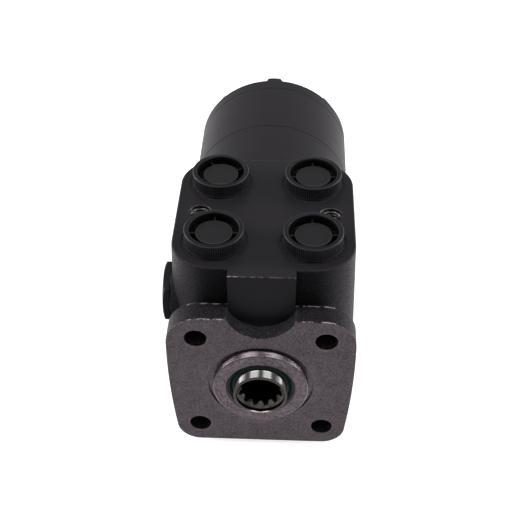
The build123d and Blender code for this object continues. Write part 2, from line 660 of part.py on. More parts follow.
def make_distributor_plate():
    """The thin plate with a port for each pocket."""
    plate = plain_disc(HOUSING_END, PLATE_END) - along_y(PLATE_BORE_R, HOUSING_END - CUT, PLATE_END + CUT)
    plate -= screw_holes(SCREW_HOLE_R, HOUSING_END - CUT, PLATE_END + CUT)
    for angle in pocket_angles():
        x, z = on_circle(PLATE_PORT_CIRCLE_R, angle)
        plate -= along_y(PLATE_PORT_R, HOUSING_END - CUT, PLATE_END + CUT, x, z)
    return plate


def ring_cavity():
    """Seven convex lobes joined by seven round pockets, each arc tangent to the next."""
    reach = LOBE_R + POCKET_R
    half_pitch = math.radians(LOBE_PITCH / 2)
    pocket_centre = (reach ** 2 - LOBE_PITCH_R ** 2) / (2 * (reach - LOBE_PITCH_R * math.cos(half_pitch)))
    across = pocket_centre * math.cos(half_pitch) - LOBE_PITCH_R
    up = pocket_centre * math.sin(half_pitch)
    scale = LOBE_R / math.hypot(across, up)
    join_x, join_z = LOBE_PITCH_R + across * scale, up * scale
    join_r, join_angle = math.hypot(join_x, join_z), math.degrees(math.atan2(join_z, join_x))
    arcs = []
    for angle in lobe_angles():
        lobe = (on_circle(join_r, angle - join_angle), on_circle(LOBE_PITCH_R - LOBE_R, angle),
                on_circle(join_r, angle + join_angle))
        pocket = (lobe[2], on_circle(POCKET_R, angle + LOBE_PITCH / 2),
                  on_circle(join_r, angle + LOBE_PITCH - join_angle))
        arcs += [ThreePointArc(*lobe), ThreePointArc(*pocket)]
    return make_face(Curve() + arcs)


def make_gear_ring():
    """The fixed ring with seven internal lobes."""
    ring = plain_disc(PLATE_END, RING_END) - slab(ring_cavity(), PLATE_END - CUT, RING_END + CUT)
    ring -= screw_holes(SCREW_HOLE_R, PLATE_END - CUT, RING_END + CUT)
    ring -= o_ring_groove(PLATE_END, O_RING_GROOVE_DEPTH)
    return ring - o_ring_groove(RING_END, -O_RING_GROOVE_DEPTH)


def rotor_outline():
    """The curve that keeps an even gap to every lobe while the rotor rolls round inside the ring."""
    offset = LOBE_R + ROTOR_GAP
    points = []
    for k in range(ROTOR_POINTS):
        turn = 2 * math.pi * k / ROTOR_POINTS
        t = turn - ROTOR_POINT_WARP * math.sin(ROTOR_LOBES * turn)
        x = LOBE_PITCH_R * math.cos(t) - ECCENTRICITY * math.cos(RING_LOBES * t)
        z = LOBE_PITCH_R * math.sin(t) - ECCENTRICITY * math.sin(RING_LOBES * t)
        run_x = -LOBE_PITCH_R * math.sin(t) + RING_LOBES * ECCENTRICITY * math.sin(RING_LOBES * t)
        run_z = LOBE_PITCH_R * math.cos(t) - RING_LOBES * ECCENTRICITY * math.cos(RING_LOBES * t)
        length = math.hypot(run_x, run_z)
        points.append((x - offset * run_z / length, z + offset * run_x / length))
    return Rot(0, 0, TOP_LOBE - 180 / ROTOR_LOBES) * make_face(Spline(*points, periodic=True))


def make_rotor():
    """The six-lobed rotor with its internal spline."""
    start, end = PLATE_END + ROTOR_END_GAP, RING_END - ROTOR_END_GAP
    rotor = slab(rotor_outline(), start, end)
    broach = spline_outline(ROTOR_SPLINE_TEETH, ROTOR_SPLINE_PITCH_R,
                            ROTOR_SPLINE_MINOR_R, ROTOR_SPLINE_MAJOR_R)
    rotor -= slab(broach, start - CUT, end + CUT)
    return Pos(0, 0, ROTOR_DROP) * rotor


def make_spacer():
    """The loose puck that fills the rotor's bore behind the cardan shaft."""
    start = RING_MIDDLE + SHAFT_HEAD_LENGTH / 2 + SPACER_FRONT_GAP
    puck = along_y(SPACER_R, start, RING_END - SPACER_GAP)
    return Pos(0, 0, ROTOR_DROP) * chamfer(puck.edges().filter_by(GeomType.CIRCLE), EDGE_BREAK)


def make_cardan_shaft():
    """The shaft between cross pin and rotor: a slotted fork in front, a crowned spline behind."""
    head_start = RING_MIDDLE - SHAFT_HEAD_LENGTH / 2
    head_end = RING_MIDDLE + SHAFT_HEAD_LENGTH / 2
    shaft = turned(
        (0, FORK_START), (FORK_R - EDGE_BREAK, FORK_START), (FORK_R, FORK_START + EDGE_BREAK),
        (FORK_R, FORK_END), (SHAFT_R, FORK_END + FORK_R - SHAFT_R), (SHAFT_R, head_start - SHAFT_HEAD_SLOPE),
        (ROTOR_SPLINE_MINOR_R - 2 * SHAFT_HEAD_GAP, head_start), (0, head_start))
    slot_half = PIN_R + FORK_SLOT_GAP
    slot = Pos(0, FORK_START - CUT, 0) * Box(
        3 * FORK_R, FORK_SLOT_BOTTOM - FORK_START + CUT - slot_half, 2 * slot_half,
        align=(Align.CENTER, Align.MIN, Align.CENTER))
    shaft -= slot + along_x(slot_half, -2 * FORK_R, 2 * FORK_R, FORK_SLOT_BOTTOM - slot_half)
    teeth = slab(
        spline_outline(ROTOR_SPLINE_TEETH, ROTOR_SPLINE_PITCH_R, ROTOR_SPLINE_MINOR_R - SHAFT_HEAD_GAP,
                       ROTOR_SPLINE_MAJOR_R - SHAFT_HEAD_GAP, SHAFT_HEAD_GAP), head_start, head_end)
    tip_r = ROTOR_SPLINE_MAJOR_R - SHAFT_HEAD_GAP
    drop = SHAFT_HEAD_CROWN_R - math.sqrt(SHAFT_HEAD_CROWN_R ** 2 - (SHAFT_HEAD_LENGTH / 2) ** 2)
    crown = ThreePointArc((tip_r - drop, head_start), (tip_r, RING_MIDDLE), (tip_r - drop, head_end))
    barrel = revolve(make_face(Curve() + [
        crown, Line(crown @ 1, (0, head_end)), Line((0, head_end), (0, head_start)),
        Line((0, head_start), crown @ 0)]), Axis.Y)
    shaft += teeth & barrel
    return Pos(0, PIN_Y, 0) * Rot(CARDAN_TILT, 0, 0) * Pos(0, -PIN_Y, 0) * shaft


def make_end_cover():
    """The plain rear cover."""
    return plain_disc(RING_END, COVER_END) - screw_holes(SCREW_HOLE_R, RING_END - CUT, COVER_END + CUT)


def make_o_ring(face, depth):
    """A ring of round section that fills its groove's depth."""
    middle = face + math.copysign(O_RING_GROOVE_DEPTH / 2, depth)
    section = Pos(O_RING_CIRCLE_R, middle) * Circle(O_RING_GROOVE_DEPTH / 2)
    return revolve(section, Axis.Y)


def make_cover_screws():
    """Seven hexagon screws through cover, ring and plate into the housing."""
    head_start = COVER_END + WASHER_THICKNESS
    corner_r = SCREW_FLATS / math.sqrt(3)
    screws = []
    for angle in lobe_angles():
        x, z = on_circle(SCREW_CIRCLE_R, angle)
        outline = Rot(0, 0, angle + 30) * hexagon(SCREW_FLATS)
        head = slab(outline, head_start, head_start + SCREW_HEAD) & turned(
            (0, head_start), (corner_r, head_start), (corner_r, head_start + SCREW_HEAD - SCREW_HEAD_BREAK),
            (corner_r - 2 * SCREW_HEAD_BREAK, head_start + SCREW_HEAD), (0, head_start + SCREW_HEAD))
        shank = along_y(SCREW_R, HOUSING_END - SCREW_ENGAGEMENT + CUT, head_start, x, z)
        screws.append(Pos(x, 0, z) * head + shank)
    return screws


def make_screw_washers():
    """A sealing washer under each screw head."""
    washers = []
    for angle in lobe_angles():
        x, z = on_circle(SCREW_CIRCLE_R, angle)
        washers.append(Pos(x, 0, z) * tube(SCREW_HOLE_R, WASHER_R, COVER_END, COVER_END + WASHER_THICKNESS))
    return washers


# ---- check valve and relief valve ------------------------------------------------------------------------
def make_check_ball():
    """The ball that closes the feed port against return flow."""
    x, y = PORT_PLACES["front_right"]
    return Pos(x, y, CHECK_FLOOR + CHECK_BALL_R + CHECK_REST_GAP) * Sphere(CHECK_BALL_R)


def make_check_bush():
    """The threaded bush above the check ball."""
    x, y = PORT_PLACES["front_right"]
    bottom = PORT_FLOOR - CHECK_BUSH_LENGTH
    bush = along_z(CHECK_CHAMBER_R, bottom, PORT_FLOOR, x, y)
    return bush - along_z(CHECK_BUSH_BORE_R, bottom - CUT, PORT_FLOOR + CUT, x, y)


def on_relief_axis(shape, station):
    """A shape built along +Z from the origin, laid along +X from a station of the relief valve."""
    return Pos(station, PLUG_Y, PLUG_Z) * Rot(0, 90, 0) * shape


def make_side_plug():
    """The hexagon plug that closes the relief valve."""
    head_end = PLUG_SEAT_X - PLUG_WASHER_THICKNESS
    head_height = head_end - PLUG_FACE_X
    outline = Plane(origin=(PLUG_FACE_X, PLUG_Y, PLUG_Z), x_dir=(0, 1, 0), z_dir=(1, 0, 0)) * (
        Rot(0, 0, PLUG_CORNER) * RegularPolygon(PLUG_FLATS / 2, 6, major_radius=False))
    corner_r = PLUG_FLATS / math.sqrt(3)
    dome = on_relief_axis(Cone(corner_r - 2 * PLUG_CHAMFER, corner_r + 2 * (head_height - PLUG_CHAMFER),
                               head_height, align=ENDWISE), PLUG_FACE_X)
    plug = extrude(outline, head_height) & dome
    plug += along_x(PLUG_THREAD_R, head_end, PLUG_SEAT_X + PLUG_THREAD_LENGTH, PLUG_Y, PLUG_Z)
    return plug - along_x(PLUG_BORE_R, head_end, PLUG_SEAT_X + PLUG_THREAD_LENGTH + CUT, PLUG_Y, PLUG_Z)


def make_plug_washer():
    """The sealing washer under the plug."""
    left = PLUG_SEAT_X - PLUG_WASHER_THICKNESS
    washer = along_x(PLUG_WASHER_R, left, PLUG_SEAT_X, PLUG_Y, PLUG_Z)
    return washer - along_x(PLUG_THREAD_R, left - CUT, PLUG_SEAT_X + CUT, PLUG_Y, PLUG_Z)


def make_relief_seat():
    """The pressed-in seat of the relief valve."""
    left = RELIEF_CHAMBER_END - RELIEF_SEAT_LENGTH
    seat = along_x(RELIEF_CHAMBER_R, left, RELIEF_CHAMBER_END, PLUG_Y, PLUG_Z)
    return seat - along_x(RELIEF_HOLE_R, left - CUT, RELIEF_CHAMBER_END + CUT, PLUG_Y, PLUG_Z)


def make_relief_poppet():
    """The poppet: a cone on the seat, a collar for the spring and a stem inside it."""
    face = RELIEF_CHAMBER_END - RELIEF_SEAT_LENGTH - POPPET_GAP
    poppet = on_relief_axis(Cylinder(POPPET_R, POPPET_COLLAR, align=ENDWISE), face - POPPET_COLLAR)
    stem = on_relief_axis(Cylinder(POPPET_STEM_R, POPPET_STEM_LENGTH, align=ENDWISE),
                          face - POPPET_COLLAR - POPPET_STEM_LENGTH)
    nose = on_relief_axis(Cone(RELIEF_HOLE_R - POPPET_GAP, POPPET_NOSE_TIP_R, POPPET_NOSE_LENGTH,
                               align=ENDWISE), face)
    return poppet + stem + nose


def make_relief_spring():
    """The coil spring between the poppet's collar and the bottom of the plug's bore."""
    right = RELIEF_CHAMBER_END - RELIEF_SEAT_LENGTH - POPPET_GAP - POPPET_COLLAR - RELIEF_WIRE_R
    left = PLUG_SEAT_X - PLUG_WASHER_THICKNESS + RELIEF_WIRE_R
    length = right - left
    path = Helix(length / RELIEF_SPRING_TURNS, length, RELIEF_SPRING_R)
    section = Plane(origin=path @ 0, z_dir=path % 0) * Circle(RELIEF_WIRE_R)
    return on_relief_axis(sweep(section, path=path), left)


# ---- port caps ---------------------------------------------------------------------------------------------
def make_port_cap(name):
    """A transit cap: rim, sunken disc, trough with four webs, and a hollow shank in the port."""
    x, y = PORT_PLACES[name]
    seat = PORT_FACE_Z - SPOTFACE_DEPTH + CAP_SEAT_GAP
    cap = along_z(CAP_R, seat, CAP_TOP_Z)
    cap = chamfer(cap.edges().sort_by(Axis.Z)[-1], EDGE_BREAK)
    rim_r = CAP_R - CAP_RIM_WALL
    trough = along_z(rim_r, CAP_TOP_Z - CAP_TROUGH_DROP, CAP_TOP_Z + CUT)
    webs = [Rot(0, 0, CAP_LEAN[name] + k * 360 / CAP_WEBS) * Pos(rim_r / 2, 0, 0) * Box(
        rim_r, CAP_WEB, CAP_TOP_Z - CAP_DISC_DROP, align=(Align.CENTER, Align.CENTER, Align.MIN))
        for k in range(CAP_WEBS)]
    disc = along_z(CAP_DISC_R, 0, CAP_TOP_Z - CAP_DISC_DROP)
    cap -= trough - (disc + webs)
    cap += along_z(CAP_SHANK_R, seat - CAP_SHANK_LENGTH, seat)
    cap -= along_z(CAP_SHANK_BORE_R, seat - CAP_SHANK_LENGTH - CUT, CAP_TOP_Z - CAP_TROUGH_DROP)
    return Pos(x, y, 0) * cap


# ---- nodes --------------------------------------------------------------------------------------
def make_nodes():
    """Every sub-part under its own name."""
    nodes = {
        "housing": make_housing(),
        "dust_seal": make_dust_seal(),
        "shaft_seal": make_shaft_seal(),
        "bearing_race_front": race(BORE_START),
        "needle_cage": make_needle_cage(),
        "bearing_needles": make_bearing_needles(),
        "bearing_race_rear": race(REAR_RACE_START),
        "sleeve": make_sleeve(),
        "spring_ring": make_spring_ring(),
        "centring_springs": make_centring_springs(),
        "cross_pin": make_cross_pin(),
        "spool": make_spool(),
        "cardan_shaft": make_cardan_shaft(),
        "distributor_plate": make_distributor_plate(),
        "gear_ring": make_gear_ring(),
        "rotor": make_rotor(),
        "spacer": make_spacer(),
        "end_cover": make_end_cover(),
        "plate_o_ring": make_o_ring(HOUSING_END, -O_RING_GROOVE_DEPTH),
        "ring_o_ring": make_o_ring(PLATE_END, O_RING_GROOVE_DEPTH),
        "cover_o_ring": make_o_ring(RING_END, -O_RING_GROOVE_DEPTH),
        "cover_screws": make_cover_screws(),
        "screw_washers": make_screw_washers(),
        "check_ball": make_check_ball(),
        "check_bush": make_check_bush(),
        "side_plug": make_side_plug(),
        "plug_washer": make_plug_washer(),
        "relief_seat": make_relief_seat(),
        "relief_poppet": make_relief_poppet(),
        "relief_spring": make_relief_spring(),
    }
    for name in PORT_PLACES:
        nodes["port_cap_" + name] = make_port_cap(name)
    return nodes


def main():
    os.makedirs("parts", exist_ok=True)
    for name, shape in make_nodes().items():
        solids = shape if isinstance(shape, list) else [shape]
        solids = [solid for piece in solids for solid in piece.solids()]
        export_step(Compound(children=solids) if len(solids) > 1 else solids[0], f"parts/{name}.step")


if __name__ == "__main__":
    main()
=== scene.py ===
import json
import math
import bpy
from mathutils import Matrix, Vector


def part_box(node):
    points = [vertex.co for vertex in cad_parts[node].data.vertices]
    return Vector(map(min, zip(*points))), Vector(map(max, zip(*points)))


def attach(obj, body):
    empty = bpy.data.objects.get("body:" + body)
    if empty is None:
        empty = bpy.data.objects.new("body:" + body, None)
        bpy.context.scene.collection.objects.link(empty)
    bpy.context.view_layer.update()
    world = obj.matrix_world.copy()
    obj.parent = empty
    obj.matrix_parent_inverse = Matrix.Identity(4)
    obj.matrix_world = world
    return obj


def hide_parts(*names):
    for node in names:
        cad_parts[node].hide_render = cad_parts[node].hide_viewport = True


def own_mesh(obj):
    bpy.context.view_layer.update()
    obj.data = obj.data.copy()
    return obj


bl_info = {
    "name": "Orbital Steering Unit",
    "version": (1, 0, 0),
    "blender": (4, 5, 0),
    "location": "View3D > Sidebar > Steering Unit",
    "description": "Dresses the orbital steering unit with threads, port caps and finishes",
    "category": "Object",
}

import bmesh
import bpy
from mathutils import Matrix, Vector

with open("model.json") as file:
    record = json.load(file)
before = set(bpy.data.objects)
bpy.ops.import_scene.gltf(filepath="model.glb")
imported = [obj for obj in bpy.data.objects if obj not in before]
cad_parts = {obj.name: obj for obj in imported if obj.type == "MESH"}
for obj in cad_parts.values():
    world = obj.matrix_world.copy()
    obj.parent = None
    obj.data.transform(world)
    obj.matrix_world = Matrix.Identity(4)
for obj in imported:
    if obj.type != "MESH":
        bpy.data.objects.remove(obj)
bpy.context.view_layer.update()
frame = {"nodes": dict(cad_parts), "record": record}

MM = 0.001

# ---- places on the unit, in millimetres: X right, Y rearwards from the mounting face, Z up -----------
MOUNT_HALF = 29.17              # mounting holes, from the valve axis along X and along Z
FACE_HOLE = (30.3, 52.0)        # tapped holes on the port face, X and Y
PORT_FACE = 60.1
PORT_X, PORT_ROWS = 22.13, (31.7, 75.4)
CAPS = {                        # X, Y and the turn of each cap in degrees
    "front_left": (-PORT_X, PORT_ROWS[0], 2.0),
    "front_right": (PORT_X, PORT_ROWS[0], 3.0),
    "rear_left": (-PORT_X, PORT_ROWS[1], 28.0),
    "rear_right": (PORT_X, PORT_ROWS[1], 2.0),
}
NOSE_TIP = -6.8
TEETH_START = -4.8              # where the spline teeth begin in the nose
PIT = (-13.8, 35.8)             # casting pit on the mounting face, X and Z
SCRATCH = (-35.5, 0.0)          # scratch on the mounting face, X and Z
FLOOR_LEVEL = -43.7

# ---- where one finish gives way to the next, a little past the surfaces themselves -------------------
FACE_SKIN = 0.15                # the machined mounting face
SPIGOT_R, SPIGOT_REAR = 24.4, 1.4
SPIGOT_LAND_R = 21.6            # inside it the spigot's land, outside it the turned wall
VALVE_BORE_R = 21.95
MOUNT_HOLE_R, MOUNT_HOLE_DEPTH = 5.25, 22.0
FACE_HOLE_FLOOR = 42.0
PORT_R, PORT_FLOOR = 11.2, 25.0
REAR_FACE = 146.5
PORT_FACE_SKIN = 59.85
BARREL_R, BARREL_FRONT = 43.75, 25.5
FLANGE_TOP, FLANGE_REAR = 41.0, 10.6
BLOCK_FRONT, BLOCK_HALF = 7.8, 15.2     # the centre block's front face and half its width
SOCKET_R = 11.45                # the splined socket in the nose

# ---- shapes of the modelled pieces, in millimetres ---------------------------------------------------
# A thread's ridge: the wall it stands on, its crest, its two ends, and its width at the foot and the tip.
HOLE_THREAD = {"wall": 5.01, "top": -0.7, "bottom": -14.5, "foot": 1.2, "tip": 0.22}
HOLE_R = 5.0                    # the holes' threads reach inwards from it by the thread depth
PORT_THREAD = {"wall": 10.49, "crest": 9.4, "top": 57.9, "bottom": 45.2, "foot": 1.55, "tip": 0.22}
SHANK_THREAD = {"wall": 9.18, "crest": 10.25, "top": 58.6, "bottom": 52.0, "foot": 1.45, "tip": 0.22}
COARSE_STEPS, FINE_STEPS = 40, 56   # steps in a turn of a small and of a large thread

CAP_PROFILE = (                 # radius and height, from the disc over the groove and rim to the shank
    (0, 64.9), (7.6, 64.9), (7.9, 64.9), (8.15, 64.8), (8.3, 64.5), (8.3, 62.2), (8.6, 61.8),
    (10.9, 61.8), (11.2, 62.2), (11.22, 66.6), (11.3, 66.9), (11.55, 67.1), (12.9, 67.1),
    (13.2, 67.0), (13.38, 66.75), (13.42, 66.1), (13.42, 60.9), (13.4, 60.6), (13.3, 60.2),
    (13.1, 59.85), (9.3, 59.85), (9.18, 59.7), (9.18, 51.3), (8.9, 51.0), (8.0, 51.0),
    (8.0, 61.4), (7.7, 61.7), (0, 61.7))
KNURL_BOTTOM, KNURL_TOP, KNURL_R = 60.8, 66.2, 13.3
POINTS_PER_RIDGE = 4            # round the rim: two on a knurl ridge, two in the groove beside it
WEB_SIZE = (3.5, 0.9, 2.8)      # one of a cap's four webs: length, thickness and height
WEB_REACH, WEB_LEVEL = 9.75, 63.1   # where its middle is
WEB_ROUNDING = 0.3

SPRING_WIRE_R = 0.6
SPRING_TURNS = 5
SPRING_STEPS = 32               # in a turn
SPRING_SEGMENTS = 14            # round the wire
SPRING_ENDS = 2.1               # what the two end turns take up, in wire radii

# ---- colours of marks, wear and small parts ----------------------------------------------------------
SHEEN = (0.95, 0.87, 1.0, 1.0)  # reflections in the black paint
# bare iron at scuffed edges, light enough to be a painted highlight on their rounding
RUBBED_EDGE_HIGHLIGHT = (0.26, 0.245, 0.25)
# painted highlight on the spigot's rim
SPIGOT_RIM_HIGHLIGHT = (0.34, 0.31, 0.325)
PIT_BLACK = (0.012, 0.010, 0.011)
HOLE_OIL_AND_SHADE = (0.004, 0.0035, 0.0035)    # the mounting holes and their oiled threads, darkened by the oil and by painted shade deep inside
TAPPED_HOLE_SHADE = (0.016, 0.014, 0.015)       # painted shade in the tapped holes on the port face
BRIGHT_THREAD = (0.042, 0.040, 0.041)
SPRING_STEEL = (0.20, 0.20, 0.23)
# the nose's front ring: painted highlight above, painted shade below
NOSE_RING_HIGHLIT, NOSE_RING_SHADED = (0.20, 0.18, 0.14), (0.040, 0.039, 0.034)
PHOSPHATE, TOOTH_END = (0.010, 0.009, 0.009), (0.085, 0.075, 0.068)
RUBBER = (0.018, 0.018, 0.018)

# ---- studio ------------------------------------------------------------------------------------------
CAMERA_PLACE = (0.011958, -0.29313, 0.333762)
CAMERA_YAW, CAMERA_PITCH, CAMERA_ROLL = -2.394, 41.213, -0.059      # degrees
CAMERA_LENS, CAMERA_SENSOR = 65.852, 36.0                           # millimetres
LAMP_AIM = (0, 0.07, 0)
# Each pair of softboxes: distance to the side, Y and Z in metres, size, power and colour.
SOFTBOXES = {
    "": ((0.92, 0.26, 0.27), (0.6, 0.5), 15.0, (1.0, 0.93, 1.0)),
    "top_": ((0.42, -0.12, 0.90), (0.40, 0.50), 5.5, (1.0, 1.0, 1.0)),
}
FLOOR_GREYS = (0.44, 0.44, 0.44), (0.46, 0.46, 0.46)
FLOOR_GLOW = 0.82               # lifts the floor to white where it is seen
ROOM_GREY, ROOM_WHITE = (0.12, 0.12, 0.125, 1.0), (1.0, 1.0, 1.0, 1.0)


# ---- what a user may change --------------------------------------------------------------------------
class SteeringUnitSizes(bpy.types.PropertyGroup):
    """Sizes of the fine detail."""
    thread_pitch: bpy.props.FloatProperty(
        name="Thread pitch", description="Pitch of the M10 threads", default=1.5 * MM, unit="LENGTH",
        precision=5)
    thread_depth: bpy.props.FloatProperty(
        name="Thread depth", description="Height of the M10 thread ridges", default=0.7 * MM, unit="LENGTH",
        precision=5)
    port_pitch: bpy.props.FloatProperty(
        name="Port thread pitch", description="Pitch of the port threads", default=1.814 * MM, unit="LENGTH",
        precision=5)
    knurl_count: bpy.props.IntProperty(
        name="Knurl ridges", description="Ridges round each port cap", default=88, min=12)
    knurl_depth: bpy.props.FloatProperty(
        name="Knurl depth", description="Depth of the grooves between the ridges", default=0.32 * MM,
        unit="LENGTH", precision=5)


class SteeringUnitColours(bpy.types.PropertyGroup):
    """Colours of the finishes."""
    paint: bpy.props.FloatVectorProperty(
        name="Paint", description="Black paint on castings", default=(0.0098, 0.0092, 0.0106),
        subtype="COLOR")
    iron: bpy.props.FloatVectorProperty(
        name="Machined iron", description="Bare machined cast iron", default=(0.064, 0.053, 0.059),
        subtype="COLOR")
    steel: bpy.props.FloatVectorProperty(
        name="Steel", description="Ground steel", default=(0.30, 0.295, 0.29), subtype="COLOR")
    wiper: bpy.props.FloatVectorProperty(
        name="Wiper", description="Green wiper seal", default=(0.002, 0.017, 0.0135), subtype="COLOR")
    cap: bpy.props.FloatVectorProperty(
        name="Cap plastic", description="Black plastic of the port caps", default=(0.0078, 0.0076, 0.0084),
        subtype="COLOR")
    copper: bpy.props.FloatVectorProperty(
        name="Copper", description="Sealing washers", default=(0.42, 0.20, 0.12), subtype="COLOR")


# ---- finishes ----------------------------------------------------------------------------------------
class Value:
    """A socket of a finish. Sums, products and powers of values add the Math nodes they need."""

    def __init__(self, finish, socket):
        self.finish = finish
        self.socket = socket

    def _math(self, operation, *terms, clamp=False):
        return self.finish.node("ShaderNodeMath", {"operation": operation, "use_clamp": clamp},
                                dict(enumerate(terms)))

    def __add__(self, other):
        return self._math("ADD", self, other)

    def __sub__(self, other):
        return self._math("SUBTRACT", self, other)

    def __rsub__(self, other):
        return self._math("SUBTRACT", other, self)

    def __mul__(self, other):
        return self._math("MULTIPLY", self, other)

    def __truediv__(self, other):
        return self._math("DIVIDE", self, other)

    def __pow__(self, other):
        return self._math("POWER", self, other)

    def __abs__(self):
        return self._math("ABSOLUTE", self)

    __radd__ = __add__
    __rmul__ = __mul__

    def clamped(self):
        return self._math("ADD", self, 0.0, clamp=True)

    def most(self, other):
        return self._math("MAXIMUM", self, other)

    def least(self, other):
        return self._math("MINIMUM", self, other)

    def below(self, limit, blur):
        """One where the value is below a limit and zero above it, with an edge as wide as blur."""
        return ((limit - self) / blur + 0.5).clamped()

    def above(self, limit, blur):
        """One where the value is above a limit and zero below it, with an edge as wide as blur."""
        return ((self - limit) / blur + 0.5).clamped()


class Finish:
    """A node material: a Principled shader whose varying sockets are set from values."""

    MIX_COLOURS, MIX_RESULT = (6, 7), 2     # a Mix node's sockets for colours

    def __init__(self, name, **constants):
        self.material = bpy.data.materials.new(name)
        self.start(self.material, "ShaderNodeOutputMaterial")
        self.shader = self.nodes.new("ShaderNodeBsdfPrincipled")
        self.show(Value(self, self.shader.outputs[0]))
        for socket, number in constants.items():
            self.shader.inputs[socket.replace("_", " ")].default_value = number

    def start(self, owner, output):
        """Empties the node tree of a material or a world and gives it an output."""
        owner.use_nodes = True
        self.nodes = owner.node_tree.nodes
        self.links = owner.node_tree.links
        self.nodes.clear()
        self.surface = self.nodes.new(output).inputs["Surface"]

    def show(self, shader):
        """Links a shader to the output."""
        self.links.new(shader.socket, self.surface)

    def node(self, kind, settings=None, sockets=None, output=0):
        """Adds a node with its settings and the values or links of its sockets."""
        node = self.nodes.new(kind)
        for name, setting in (settings or {}).items():
            setattr(node, name, setting)
        for key, value in (sockets or {}).items():
            if isinstance(value, Value):
                self.links.new(value.socket, node.inputs[key])
            else:
                node.inputs[key].default_value = value
        return Value(self, node.outputs[output])

    def place(self):
        """Object coordinates in millimetres."""
        coordinates = self.node("ShaderNodeTexCoord", output="Object")
        return self.node("ShaderNodeVectorMath", {"operation": "SCALE"}, {0: coordinates, "Scale": 1000.0})

    def axes(self, place):
        """The three coordinates of a place, each as a value."""
        return [self.node("ShaderNodeSeparateXYZ", None, {0: place}, axis) for axis in "XYZ"]

    def noise(self, place, feature, detail=2.0, roughness=0.5):
        """Noise whose features are about so many millimetres wide."""
        return self.node("ShaderNodeTexNoise", None, {
            "Vector": place, "Scale": 1.0 / feature, "Detail": detail, "Roughness": roughness})

    def mix(self, factor, first, second):
        """A colour between two colours."""
        return self.colours({"data_type": "RGBA"}, factor, first, second)

    def tint(self, colour, amount):
        """A colour made lighter or darker by a value round 1."""
        grey = self.node("ShaderNodeCombineXYZ", None, dict.fromkeys("XYZ", amount))
        return self.colours({"data_type": "RGBA", "blend_type": "MULTIPLY"}, 1.0, colour, grey)

    def colours(self, settings, factor, *pair):
        """A Mix node of two colours, each a value or three numbers."""
        sockets = {0: factor}
        for key, colour in zip(self.MIX_COLOURS, pair):
            sockets[key] = colour if isinstance(colour, Value) else (*colour, 1.0)
        return self.node("ShaderNodeMix", settings, sockets, self.MIX_RESULT)

    def bump(self, height, distance, strength=1.0, under=None):
        """A Bump node; height is 0 to 1 and distance is in millimetres."""
        sockets = {"Height": height, "Distance": distance * MM, "Strength": strength}
        if under is not None:
            sockets["Normal"] = under
        return self.node("ShaderNodeBump", None, sockets)

    def feed(self, **values):
        """Links values to the shader's varying sockets."""
        for name, value in values.items():
            self.links.new(value.socket, self.shader.inputs[name.replace("_", " ")])
        return self.material


class Surroundings(Finish):
    """The node tree of the world."""

    def __init__(self, world):
        self.start(world, "ShaderNodeOutputWorld")


def shades(finish, where, colour, least=0.85, most=1.15):
    """A colour that drifts between a darker and a lighter shade of itself."""
    return finish.mix(where, tuple(least * c for c in colour), tuple(most * c for c in colour))


def round_marks(finish, radius, y, width):
    """Noise in rings about the valve axis, as a turning tool leaves it."""
    return finish.noise(finish.node("ShaderNodeCombineXYZ", None, {0: radius, 1: y, 2: 0.0}), width, 2.0, 0.6)


def from_axis(x, z):
    """Distance from the valve axis."""
    return (x ** 2.0 + z ** 2.0) ** 0.5


def away_from(u, v, u0, v0):
    """Distance in a plane from a point."""
    return ((u - u0) ** 2.0 + (v - v0) ** 2.0) ** 0.5


def from_port(flank, y):
    """Distance from the middle of the nearest port, seen from above."""
    row = abs(y - PORT_ROWS[0]).least(abs(y - PORT_ROWS[1]))
    return away_from(flank, row, PORT_X, 0.0)


